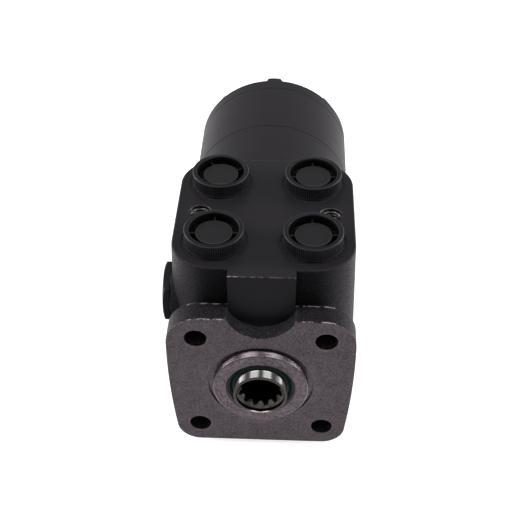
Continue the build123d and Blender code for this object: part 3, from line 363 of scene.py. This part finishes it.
class HousingRegions:
    """Regions of the housing's skin, each a value that is one inside and zero outside."""

    def __init__(self, f, place):
        x, y, z = f.axes(place)
        flank = abs(x)
        radius = from_axis(x, z)
        self.x, self.y, self.z, self.flank, self.radius = x, y, z, flank, radius
        self.pits = f.noise(place, 1.3, 3.0, 0.7)
        self.machined(flank, radius, y, z)
        self.painted(flank, radius, y, z)
        self.shaded(f, place, flank, y, z)
        self.rubbed_and_highlit_edges(f, place, x, flank, y, z)

    def machined(self, flank, radius, y, z):
        """Bare iron: the mounting face with its spigot, the bores and the rear face."""
        self.face = y.below(FACE_SKIN + (self.pits - 0.5).most(0.0) * 5.0, 0.1)
        self.spigot = radius.below(SPIGOT_R, 0.1) * y.below(SPIGOT_REAR, 0.2)
        self.from_mount = away_from(flank, abs(z), MOUNT_HALF, MOUNT_HALF)
        bore = radius.below(VALVE_BORE_R, 0.1)
        mount = self.from_mount.below(MOUNT_HOLE_R, 0.1) * y.below(MOUNT_HOLE_DEPTH, 0.2)
        self.tapped = away_from(flank, y, *FACE_HOLE).below(MOUNT_HOLE_R, 0.1) * z.above(FACE_HOLE_FLOOR, 0.2)
        port = from_port(flank, y).below(PORT_R, 0.2) * z.above(PORT_FLOOR, 0.2)
        rear = y.above(REAR_FACE, 0.1)
        self.bare = self.face.most(self.spigot).most(bore).most(mount).most(self.tapped).most(port).most(rear)
        # past the mouth the mounting holes are darkened by oil and by painted shade
        self.deep_mount_oil_and_shade = mount * y.above(0.7, 0.5)
        self.coated = 1.0 - self.bare

    def painted(self, flank, radius, y, z):
        """Paint over a machined surface, which is smooth, and over the cast skin, which is not."""
        self.top = z.above(PORT_FACE_SKIN, 0.2)
        barrel = radius.below(BARREL_R, 0.2) * y.above(BARREL_FRONT, 1.0)
        self.facet = flank.below(BLOCK_HALF, 0.2) * z.above(33.0, 4.0) * y.below(14.0, 0.5)
        self.smooth = self.top.most(barrel).most(self.facet * y.above(7.5, 0.2))
        self.cast = 1.0 - self.smooth

    def shaded(self, f, place, flank, y, z):
        """Painted shade and painted glints: darker paint beside the centre block, at the foot of its facet,
        on the flange's top and along the sides of the port face, and lighter glints on the cast skin.
        """
        recess_shade = flank.below(32.0, 14.0) * flank.above(15.0, 0.4) * y.above(9.0, 2.0) * y.below(22.0, 6.0)
        self.recess_shade = recess_shade * z.above(40.0, 2.0) * (1.0 - self.top)
        notch_floor = flank.below(16.2, 0.3) * z.above(29.0, 1.0) * y.below(7.6, 0.2)
        # painted glints: lighter specks on the cast skin, fewer beside the centre block and more on the notch
        # floor
        glint_granules = self.cast * f.noise(place, 0.9, 4.0, 0.75).above(0.57, 0.18) * (1.0 - self.recess_shade * 0.6)
        self.glint_granules = glint_granules * (1.0 + notch_floor * 1.5)
        # painted shade at the foot of the centre block's facet
        self.foot = self.facet * self.smooth * z.below(37.0, 7.0)
        self.flange_top_shade = z.above(37.0, 3.0) * y.below(10.8, 0.6) * flank.above(15.5, 0.5)
        self.top_sides_shade = self.top * flank.above(37.0, 10.0)

    def rubbed_and_highlit_edges(self, f, place, x, flank, y, z):
        """Edges where the paint is scuffed through to the iron in patches, lightened as a painted highlight
        of the light their rounding would catch.
        """
        front_edge = y.below(0.9, 0.5) * z.above(40.3, 0.4) * flank.below(38.0, 4.0)
        rear_edge = abs(y - FLANGE_REAR).below(0.55, 0.5) * abs(z - FLANGE_TOP).below(1.0, 0.5)
        rear_edge = rear_edge * flank.below(36.0, 4.0)
        block_edge = abs(y - BLOCK_FRONT).below(0.22, 0.2) * self.top * flank.below(14.9, 0.2)
        # lighter towards the left, as a painted highlight
        block_edge = block_edge * (0.3 + x.below(-11.0, 2.0) * 0.6)
        patchy = f.noise(place, 2.2, 4.0, 0.7).above(0.52, 0.08)
        self.rubbed_highlight = front_edge.most(rear_edge).most(block_edge) * patchy * self.coated


def casting_finish(colours):
    """Black paint over cast and machined skin, with bare iron on the mounting face and in the bores."""
    f = Finish("black_casting", Specular_IOR_Level=0.07, Specular_Tint=SHEEN)
    place = f.place()
    on = HousingRegions(f, place)
    broad = f.noise(place, 14.0, 3.0)
    grain = f.noise(place, 0.55, 4.0, 0.65)
    speck = f.noise(place, 1.1, 3.0, 0.75)
    rings = round_marks(f, on.radius, on.y, 0.3)
    turned_wall = on.spigot * on.radius.above(SPIGOT_LAND_R, 0.2)

    paint = casting_paint(f, on, shades(f, broad, colours.paint))
    cloud = f.noise(place, 5.0, 4.0, 0.6)
    mottle = 1.0 + (speck - 0.5) * 3.2 + (rings - 0.5) * 0.6 + (cloud - 0.5) * 0.9
    iron = machined_iron(f, on, f.tint(shades(f, broad, colours.iron), mottle.most(0.2)))

    # The turned wall of the spigot slopes in the bump alone, so it catches the side light.
    rough_skin = 0.5 + (on.pits - 0.5) * 2.4 + (grain - 0.5) * 2.0
    relief = on.cast * rough_skin + on.smooth * (0.5 + (grain - 0.5) * 0.04)
    bare_relief = 0.5 + (speck - 0.5) * 0.2 + (rings - 0.5) * 0.1 + turned_wall * on.y * 1.7
    height = relief * on.coated + bare_relief * on.bare
    painted_gloss = 0.44 + on.cast * (grain - 0.55) * 0.9
    bare_gloss = 0.46 + (speck - 0.5) * 0.2 - turned_wall * 0.22
    return f.feed(Base_Color=f.mix(on.bare, paint, iron), Metallic=(on.bare * 0.75).most(on.rubbed_highlight * 0.8),
                  Roughness=painted_gloss * on.coated + bare_gloss * on.bare, Normal=f.bump(height, 0.30))


def casting_paint(f, on, paint):
    """The paint's own colour with painted shade and painted glints, and bare iron at scuffed edges that also
    serves as a painted highlight.
    """
    # painted shade beside the centre block, at the facet's foot, on the flange's top and along the port
    # face's sides; painted light on the facet's smooth face
    shade = (1.0 - on.recess_shade * 0.88) * (1.0 + on.facet * on.smooth * 0.2) * (1.0 - on.foot * 0.6)
    shade = shade * (1.0 - on.flange_top_shade * 0.75) * (1.0 - on.top_sides_shade * 0.3)
    return f.mix(on.rubbed_highlight, f.tint(paint, shade + on.glint_granules * 1.7), RUBBED_EDGE_HIGHLIGHT)


def machined_iron(f, on, iron):
    """Bare iron with its lighter lands, a painted highlight on the spigot's rim, the pit and scratch on the
    face, the mounting holes darkened by oil and painted shade, and the tapped holes by painted shade.
    """
    land = on.spigot * on.radius.below(SPIGOT_LAND_R, 0.4)
    witness = on.radius.above(24.6, 0.8) * on.radius.below(27.5, 2.0)
    lip = on.from_mount.below(5.75, 0.2)
    iron = f.mix(land.most(witness * 0.3).most(lip * 0.7), iron, f.tint(iron, 1.5))
    # painted highlight round the spigot's outer rim, mostly on its lower half
    lower_half = 0.15 + on.z.below(2.0, 16.0) * 0.85
    rim = on.spigot * on.radius.above(21.45, 0.25) * on.y.below(-2.2, 0.4) * lower_half
    iron = f.mix(rim, iron, SPIGOT_RIM_HIGHLIGHT)
    pit_mark = away_from(on.x, on.z, *PIT).below(0.5, 0.3)
    along, across = on.x - SCRATCH[0], on.z - SCRATCH[1]
    scratch = abs(across - along * 0.12).below(0.22, 0.2) * abs(along).below(1.5, 0.5)
    iron = f.mix(pit_mark.most(scratch * 0.6) * on.face, iron, PIT_BLACK)
    iron = f.mix(on.deep_mount_oil_and_shade, iron, HOLE_OIL_AND_SHADE)
    # painted shade inside the tapped holes
    return f.mix(on.tapped * 0.6, iron, TAPPED_HOLE_SHADE)


def painted_steel_finish(colours):
    """Thin black paint over turned steel."""
    f = Finish("black_turned", Specular_IOR_Level=0.07, Specular_Tint=SHEEN)
    place = f.place()
    x, y, z = f.axes(place)
    rings = round_marks(f, from_axis(x, z), y, 0.8)
    broad = f.noise(place, 14.0, 3.0)
    peel = f.noise(place, 0.9, 2.0)
    return f.feed(Base_Color=f.tint(shades(f, broad, colours.paint), 0.85 + rings * 0.3),
                  Roughness=0.34 + broad * 0.12 + rings * 0.12,
                  Normal=f.bump(rings * 0.7 + peel * 0.3, 0.022))


def steel_finish(name, colour, roughness, lay=0.35, depth=0.006):
    """Steel with turning marks round the valve axis."""
    f = Finish(name, Metallic=1.0)
    place = f.place()
    x, y, z = f.axes(place)
    rings = round_marks(f, from_axis(x, z), y, lay)
    smudge = f.noise(place, 5.0, 3.0, 0.6)
    tone = f.tint(colour, 0.86 + smudge * 0.2 + rings * 0.08)
    return f.feed(Base_Color=tone, Roughness=roughness * (0.8 + smudge * 0.4), Normal=f.bump(rings, depth))


def spool_finish(colours):
    """Polished outside, dark phosphate in the splined socket, with the tooth ends cut bright."""
    f = Finish("spool_steel", Metallic=1.0)
    place = f.place()
    x, y, z = f.axes(place)
    radius = from_axis(x, z)
    rings = round_marks(f, radius, y, 0.25)
    smudge = f.noise(place, 4.0, 3.0, 0.6)
    socket = radius.below(SOCKET_R, 0.1) * y.above(TEETH_START - 1.7, 0.15)
    tooth_end = y.above(TEETH_START, 0.3) * y.below(TEETH_START + 3.2, 1.6)
    nose = y.below(TEETH_START + 3.0, 2.0)
    outside = f.tint(tuple(colours.steel), (0.80 + smudge * 0.3 + rings * 0.10) * (1.0 - nose * 0.8))
    # the front ring of the nose: a painted highlight on its upper half and painted shade on its lower half
    front_ring = y.below(NOSE_TIP + 0.45, 0.3) * radius.below(12.3, 0.3)
    ring_light_and_shade = f.mix(z.below(-10.4, 0.8), NOSE_RING_SHADED, NOSE_RING_HIGHLIT)
    outside = f.mix(front_ring, outside, ring_light_and_shade)
    rounded_tip = ((y - NOSE_TIP) / 4.6).clamped() * (1.0 - socket)
    inside = f.mix(tooth_end * smudge.above(0.42, 0.3), PHOSPHATE, TOOTH_END)
    return f.feed(Base_Color=f.mix(socket, outside, inside), Roughness=0.12 + smudge * 0.08 + socket * 0.26,
                  Normal=f.bump(rings, 0.004, 1.0, f.bump(rounded_tip, 2.3)))


def wiper_finish(colours):
    """Moulded polymer, a little mottled, with a dry sheen."""
    f = Finish("green_wiper", Specular_IOR_Level=0.18)
    place = f.place()
    cloud = f.noise(place, 2.2, 3.0)
    fine = f.noise(place, 0.3, 2.0)
    return f.feed(Base_Color=shades(f, cloud, colours.wiper, 0.75, 1.3), Roughness=0.34 + cloud * 0.16,
                  Normal=f.bump(fine, 0.02))


def rubber_finish():
    """Black nitrile rubber."""
    f = Finish("black_rubber", Specular_IOR_Level=0.4)
    place = f.place()
    cloud = f.noise(place, 3.0, 3.0)
    fine = f.noise(place, 0.25, 2.0)
    return f.feed(Base_Color=shades(f, cloud, RUBBER, 0.65, 1.35), Roughness=0.5 + cloud * 0.2,
                  Normal=f.bump(fine, 0.03))


def cap_finish(colours):
    """Black moulded plastic, satin, with faint flow marks, painted shade in the groove, a darker top land,
    and painted highlights on the knurl and the edges.
    """
    f = Finish("black_cap_plastic", Specular_IOR_Level=0.08)
    place = f.place()
    x, y, z = f.axes(place)
    flow = f.noise(place, 6.0, 3.0)
    fine = f.noise(place, 0.4, 2.0)
    reach = from_port(abs(x), y)
    floor = reach.above(8.2, 0.1) * z.below(63.9, 0.6)
    groove = floor.most(reach.above(11.05, 0.1) * z.below(66.3, 0.4)) * reach.below(11.3, 0.1)
    grip_highlight = reach.above(13.25, 0.1) * z.below(66.3, 0.3)
    land = reach.above(11.7, 0.2) * reach.below(12.9, 0.2) * z.above(66.6, 0.3)
    disc_edge_highlight = abs(reach - 8.08).below(0.2, 0.15) * z.above(64.35, 0.3)
    rim_edge_highlight = reach.above(13.05, 0.15) * z.above(66.2, 0.3)
    # painted shade darkens the groove and the top land is darker; painted highlights lighten the knurled
    # sides and the edges of the disc and the rim
    tone = 1.0 - groove * 0.8 - land * 0.5 + grip_highlight * 1.6 + disc_edge_highlight * 3.0 + rim_edge_highlight * 1.6
    return f.feed(Base_Color=f.tint(shades(f, flow, colours.cap, 0.8, 1.25), tone),
                  Roughness=0.34 + flow * 0.14, Normal=f.bump(fine, 0.012))


def copper_finish(colours):
    """Copper, dull, with black overspray from the painted unit around it."""
    f = Finish("copper_washer", Metallic=0.6)
    place = f.place()
    cloud = f.noise(place, 3.0, 3.0)
    fine = f.noise(place, 0.3, 2.0)
    overspray = cloud.above(0.22, 0.3)
    return f.feed(Base_Color=f.mix(overspray, tuple(colours.copper), tuple(colours.paint)),
                  Roughness=0.40 + cloud * 0.2, Normal=f.bump(fine, 0.02))


def seen_directly(finish):
    """One for camera, glossy and transmission rays."""
    camera, glossy, through = (finish.node("ShaderNodeLightPath", output=f"Is {ray} Ray")
                               for ray in ("Camera", "Glossy", "Transmission"))
    return camera.most(glossy).most(through)


# ---- pieces ------------------------------------------------------------------------------------------
def metres(sizes):
    """Named millimetres as named metres."""
    return {name: size * MM for name, size in sizes.items()}


def turn(mesh, angle, axis, points):
    """Turns points about an axis through the origin."""
    bmesh.ops.rotate(mesh, cent=(0, 0, 0), matrix=Matrix.Rotation(angle, 3, axis), verts=points)


def clean(mesh):
    """Merges doubled points and turns every face outwards."""
    bmesh.ops.remove_doubles(mesh, verts=mesh.verts, dist=1e-6)
    bmesh.ops.recalc_face_normals(mesh, faces=mesh.faces)


def finished_piece(name, mesh, material, body, sharp=32.0):
    """Puts a mesh in the scene as a piece that rides on a body."""
    data = bpy.data.meshes.new(name)
    mesh.to_mesh(data)
    mesh.free()
    data.materials.append(material)
    data.shade_smooth()
    data.set_sharp_from_angle(angle=math.radians(sharp))
    piece = bpy.data.objects.new(name, data)
    bpy.context.scene.collection.objects.link(piece)
    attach(piece, body)
    return piece


def turned(mesh, profile, steps):
    """Spins a profile of (radius, height) in millimetres about Z."""
    points = [mesh.verts.new((r * MM, 0.0, h * MM)) for r, h in profile]
    edges = [mesh.edges.new(pair) for pair in zip(points, points[1:])]
    bmesh.ops.spin(mesh, geom=points + edges, cent=(0, 0, 0), axis=(0, 0, 1), dvec=(0, 0, 0),
                   angle=2 * math.pi, steps=steps, use_merge=True)
    bmesh.ops.remove_doubles(mesh, verts=mesh.verts, dist=1e-6)


def wound(mesh, geometry, turns, steps, rise):
    """Winds a closed outline into a helix about Z, rising by so much at each step, and caps its ends."""
    outline = sum(isinstance(part, bmesh.types.BMVert) for part in geometry)
    bmesh.ops.spin(mesh, geom=geometry, cent=(0, 0, 0), axis=(0, 0, 1), dvec=(0, 0, rise),
                   angle=2 * math.pi * turns, steps=steps * turns)
    bmesh.ops.holes_fill(mesh, edges=[e for e in mesh.edges if e.is_boundary], sides=outline)


def thread_ridge(wall, crest, pitch, top, bottom, foot, tip, steps=FINE_STEPS):
    """A helical ridge about Z from a wall radius to a crest radius, fading out at both ends."""
    mesh = bmesh.new()
    corners = ((wall, top + foot / 2), (crest, top + tip / 2), (crest, top - tip / 2), (wall, top - foot / 2))
    points = [mesh.verts.new((r, 0.0, h)) for r, h in corners]
    edges = [mesh.edges.new((points[k], points[(k + 1) % 4])) for k in range(4)]
    turns = int((top - bottom) / pitch)
    wound(mesh, points + edges, turns, steps, -pitch / steps)
    ends = top, top - turns * pitch
    for point in mesh.verts:
        radius = point.co.xy.length
        fade = min([1.0] + [max(0.02, abs(point.co.z - end) / pitch) for end in ends])
        point.co.xy *= (wall + (radius - wall) * fade) / radius
    clean(mesh)
    return mesh


# ---- operators ---------------------------------------------------------------------------------------
finish_store = {}               # the finishes by name, filled by the first operator


class STEERING_OT_finishes(bpy.types.Operator):
    """Gives every part of the steering unit its finish"""
    bl_idname = "steering.finishes"
    bl_label = "Finishes"

    def execute(self, context):
        colours = context.scene.steering_colours
        finish_store.update({
            "housing_paint": casting_finish(colours),
            "painted_steel": painted_steel_finish(colours),
            "wiper_green": wiper_finish(colours),
            "seal_rubber": rubber_finish(),
            "steel": steel_finish("ground_steel", tuple(colours.steel), 0.30),
            "polished_steel": spool_finish(colours),
            "spring_steel": steel_finish("spring_steel", SPRING_STEEL, 0.34),
            "copper_washer": copper_finish(colours),
            "cap_plastic": cap_finish(colours),
            # oiled threads, darkened past their oil as painted shade
            "oiled_thread": steel_finish("oiled_thread", HOLE_OIL_AND_SHADE, 0.30, 0.3, 0.01),
            "bright_thread": steel_finish("bright_thread", BRIGHT_THREAD, 0.30, 0.3, 0.01),
        })
        slots = {part["node"]: part["material_slot"] for part in frame["record"]["subparts"]}
        for name, node in frame["nodes"].items():
            node.data.materials.clear()
            node.data.materials.append(finish_store[slots[name]])
        return {"FINISHED"}


class STEERING_OT_tapped_threads(bpy.types.Operator):
    """Cuts thread ridges into the six M10 holes and the four ports"""
    bl_idname = "steering.tapped_threads"
    bl_label = "Threads"

    def execute(self, context):
        sizes = context.scene.steering_sizes
        for side, sign in (("left", -MM), ("right", MM)):
            for level, z in (("upper", MOUNT_HALF * MM), ("lower", -MOUNT_HALF * MM)):
                mouth = Matrix.Translation((sign * MOUNT_HALF, 0, z)) @ Matrix.Rotation(math.pi / 2, 4, "X")
                self.hole_thread(f"mount_thread_{level}_{side}", sizes, mouth, "oiled_thread")
            mouth = Matrix.Translation((sign * FACE_HOLE[0], FACE_HOLE[1] * MM, PORT_FACE * MM))
            self.hole_thread(f"face_thread_{side}", sizes, mouth, "bright_thread")
        for name, (x, y, _) in CAPS.items():
            mesh = thread_ridge(pitch=sizes.port_pitch, **metres(PORT_THREAD))
            bmesh.ops.translate(mesh, vec=(x * MM, y * MM, 0), verts=mesh.verts)
            finished_piece("port_thread_" + name, mesh, finish_store["bright_thread"], "root", 60)
        return {"FINISHED"}

    def hole_thread(self, name, sizes, mouth, finish):
        """The thread of one M10 hole, placed at its mouth."""
        mesh = thread_ridge(crest=HOLE_R * MM - sizes.thread_depth, pitch=sizes.thread_pitch,
                            steps=COARSE_STEPS, **metres(HOLE_THREAD))
        bmesh.ops.transform(mesh, matrix=mouth, verts=mesh.verts)
        bmesh.ops.recalc_face_normals(mesh, faces=mesh.faces)
        finished_piece(name, mesh, finish_store[finish], "root", 60)


class STEERING_OT_port_caps(bpy.types.Operator):
    """Models the four knurled transit caps"""
    bl_idname = "steering.port_caps"
    bl_label = "Port caps"

    def execute(self, context):
        sizes = context.scene.steering_sizes
        for name, (x, y, lean) in CAPS.items():
            mesh = self.cap(sizes)
            turn(mesh, math.radians(lean), "Z", mesh.verts)
            bmesh.ops.translate(mesh, vec=(x * MM, y * MM, 0), verts=mesh.verts)
            piece = finished_piece("detailed_cap_" + name, mesh, finish_store["cap_plastic"], "cap_" + name)
            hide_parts("port_cap_" + name)
        return {"FINISHED"}

    def cap(self, sizes):
        """One cap about Z: knurled rim, deep groove, raised disc, four webs and a threaded shank."""
        mesh = bmesh.new()
        turned(mesh, CAP_PROFILE, POINTS_PER_RIDGE * sizes.knurl_count)
        self.knurl(mesh, sizes)
        for quarter in range(4):
            self.web(mesh, quarter * math.pi / 2)
        ridge = thread_ridge(pitch=sizes.port_pitch, **metres(SHANK_THREAD))
        shank_thread = bpy.data.meshes.new("shank_thread")
        ridge.to_mesh(shank_thread)
        ridge.free()
        mesh.from_mesh(shank_thread)
        bpy.data.meshes.remove(shank_thread)
        clean(mesh)
        return mesh

    def knurl(self, mesh, sizes):
        """Sets every second pair of points round the rim inwards, as the grooves between the ridges."""
        spacing = 2 * math.pi / (POINTS_PER_RIDGE * sizes.knurl_count)
        for point in mesh.verts:
            radius = point.co.xy.length
            if KNURL_BOTTOM * MM < point.co.z < KNURL_TOP * MM and radius > KNURL_R * MM:
                step = round(math.atan2(point.co.y, point.co.x) / spacing)
                if step % POINTS_PER_RIDGE >= POINTS_PER_RIDGE / 2:
                    point.co.xy *= 1.0 - sizes.knurl_depth / radius

    def web(self, mesh, angle):
        """A thin web across the groove, with its upper edges rounded."""
        block = bmesh.ops.create_cube(mesh, size=1.0)["verts"]
        bmesh.ops.scale(mesh, vec=[side * MM for side in WEB_SIZE], verts=block)
        bmesh.ops.translate(mesh, vec=(WEB_REACH * MM, 0, WEB_LEVEL * MM), verts=block)
        upper = {edge for point in block if point.co.z > WEB_LEVEL * MM for edge in point.link_edges}
        ridges = [edge for edge in upper if abs((edge.verts[0].co - edge.verts[1].co).x) > MM]
        rounded = bmesh.ops.bevel(mesh, geom=ridges, offset=WEB_ROUNDING * MM, offset_type="OFFSET",
                                  segments=2, profile=0.5, affect="EDGES", material=-1)
        points = {v for v in block if v.is_valid} | set(rounded["verts"])
        turn(mesh, angle, "Z", list(points))


class STEERING_OT_relief_spring(bpy.types.Operator):
    """Winds the relief spring in place of the modelled one"""
    bl_idname = "steering.relief_spring"
    bl_label = "Relief spring"

    def execute(self, context):
        low, high = (Vector(corner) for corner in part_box("relief_spring"))
        wire = SPRING_WIRE_R * MM
        length = high.x - low.x
        steps = SPRING_TURNS * SPRING_STEPS
        rise = (length - SPRING_ENDS * wire) / steps
        mesh = bmesh.new()
        bmesh.ops.create_circle(mesh, radius=wire, segments=SPRING_SEGMENTS)
        turn(mesh, math.pi / 2, "X", mesh.verts)
        bmesh.ops.translate(mesh, vec=((high.z - low.z) / 2 - wire, 0, 0), verts=mesh.verts)
        wound(mesh, mesh.verts[:] + mesh.edges[:], SPRING_TURNS, SPRING_STEPS, rise)
        bmesh.ops.translate(mesh, vec=(0, 0, -rise * steps / 2), verts=mesh.verts)
        turn(mesh, math.pi / 2, "Y", mesh.verts)
        bmesh.ops.translate(mesh, vec=(low + high) / 2, verts=mesh.verts)
        clean(mesh)
        piece = finished_piece("wound_relief_spring", mesh, finish_store["spring_steel"], "root",
                               60)
        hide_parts("relief_spring")
        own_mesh(piece)
        return {"FINISHED"}


class STEERING_OT_stage(bpy.types.Operator):
    """Sets the camera, the floor and soft studio light"""
    bl_idname = "steering.stage"
    bl_label = "Studio"

    def execute(self, context):
        scene = context.scene
        self.camera(scene)
        self.floor(scene)
        self.world(scene)
        for side, sign in (("left", -1), ("right", 1)):
            for row, ((x, y, z), size, power, colour) in SOFTBOXES.items():
                self.lamp(scene, f"{row}{side}_softbox", (sign * x, y, z), size, power, colour)
        scene.view_settings.view_transform = "Standard"
        return {"FINISHED"}

    def camera(self, scene):
        """A camera in front of the unit that looks down on the ports."""
        yaw, pitch, roll = (math.radians(angle) for angle in (CAMERA_YAW, CAMERA_PITCH, CAMERA_ROLL))
        ahead = Vector((math.sin(yaw) * math.cos(pitch), math.cos(yaw) * math.cos(pitch), -math.sin(pitch)))
        level = Vector((math.cos(yaw), -math.sin(yaw), 0.0))
        lift = level.cross(ahead)
        right = level * math.cos(roll) + lift * math.sin(roll)
        up = lift * math.cos(roll) - level * math.sin(roll)
        data = bpy.data.cameras.new("studio_camera")
        data.sensor_fit, data.sensor_width, data.lens = "HORIZONTAL", CAMERA_SENSOR, CAMERA_LENS
        data.clip_start, data.clip_end = 0.01, 20.0
        camera = bpy.data.objects.new("studio_camera", data)
        rotation = Matrix((right, up, -ahead)).transposed()
        camera.matrix_world = Matrix.Translation(CAMERA_PLACE) @ rotation.to_4x4()
        scene.collection.objects.link(camera)
        scene.camera = camera

    def floor(self, scene):
        """A pale floor, white where it is seen."""
        mesh = bmesh.new()
        bmesh.ops.create_grid(mesh, x_segments=8, y_segments=8, size=3.0)
        bmesh.ops.translate(mesh, vec=(0, 0, FLOOR_LEVEL * MM), verts=mesh.verts)
        data = bpy.data.meshes.new("studio_floor")
        mesh.to_mesh(data)
        mesh.free()
        f = Finish("white_floor", Roughness=0.9, Specular_IOR_Level=0.0)
        f.feed(Base_Color=f.mix(f.noise(f.place(), 180.0), *FLOOR_GREYS))
        matt = Value(f, f.shader.outputs[0])
        glow = f.node("ShaderNodeEmission", None, {"Color": ROOM_WHITE, "Strength": FLOOR_GLOW})
        both = f.node("ShaderNodeAddShader", None, {0: matt, 1: glow})
        f.show(f.node("ShaderNodeMixShader", None, {0: seen_directly(f), 1: matt, 2: both}))
        data.materials.append(f.material)
        floor = bpy.data.objects.new("studio_floor", data)
        scene.collection.objects.link(floor)

    def world(self, scene):
        """Dim grey light all round, and white where the camera, metal or glass sees past the floor."""
        scene.world = bpy.data.worlds.new("white_studio")
        f = Surroundings(scene.world)
        grey = f.node("ShaderNodeBackground", None, {"Color": ROOM_GREY})
        white = f.node("ShaderNodeBackground", None, {"Color": ROOM_WHITE})
        f.show(f.node("ShaderNodeMixShader", None, {0: seen_directly(f), 1: grey, 2: white}))

    def lamp(self, scene, name, place, size, power, colour):
        """A softbox that faces the unit."""
        data = bpy.data.lights.new(name, "AREA")
        data.shape = "RECTANGLE"
        data.size, data.size_y = size
        data.energy, data.color = power, colour
        lamp = bpy.data.objects.new(name, data)
        lamp.location = place
        lamp.rotation_euler = (Vector(LAMP_AIM) - Vector(place)).to_track_quat("-Z", "Y").to_euler()
        scene.collection.objects.link(lamp)


class STEERING_PT_panel(bpy.types.Panel):
    """Lists the steps and sizes of the steering unit"""
    bl_idname = "STEERING_PT_panel"
    bl_label = "Steering Unit"
    bl_space_type = "VIEW_3D"
    bl_region_type = "UI"
    bl_category = "Steering Unit"

    def draw(self, context):
        for group in (context.scene.steering_sizes, context.scene.steering_colours):
            for name in group.__annotations__:
                self.layout.prop(group, name)
        for operator in OPERATORS:
            self.layout.operator(operator.bl_idname)


OPERATORS = (STEERING_OT_finishes, STEERING_OT_tapped_threads, STEERING_OT_port_caps,
             STEERING_OT_relief_spring, STEERING_OT_stage)
CLASSES = (SteeringUnitSizes, SteeringUnitColours, *OPERATORS, STEERING_PT_panel)


def register():
    for cls in CLASSES:
        bpy.utils.register_class(cls)
    bpy.types.Scene.steering_sizes = bpy.props.PointerProperty(type=SteeringUnitSizes)
    bpy.types.Scene.steering_colours = bpy.props.PointerProperty(type=SteeringUnitColours)


def unregister():
    del bpy.types.Scene.steering_colours
    del bpy.types.Scene.steering_sizes
    for cls in reversed(CLASSES):
        bpy.utils.unregister_class(cls)


def main():
    register()
    bpy.ops.steering.finishes()
    bpy.ops.steering.tapped_threads()
    bpy.ops.steering.port_caps()
    bpy.ops.steering.relief_spring()
    bpy.ops.steering.stage()


if __name__ == "__main__":
    main()
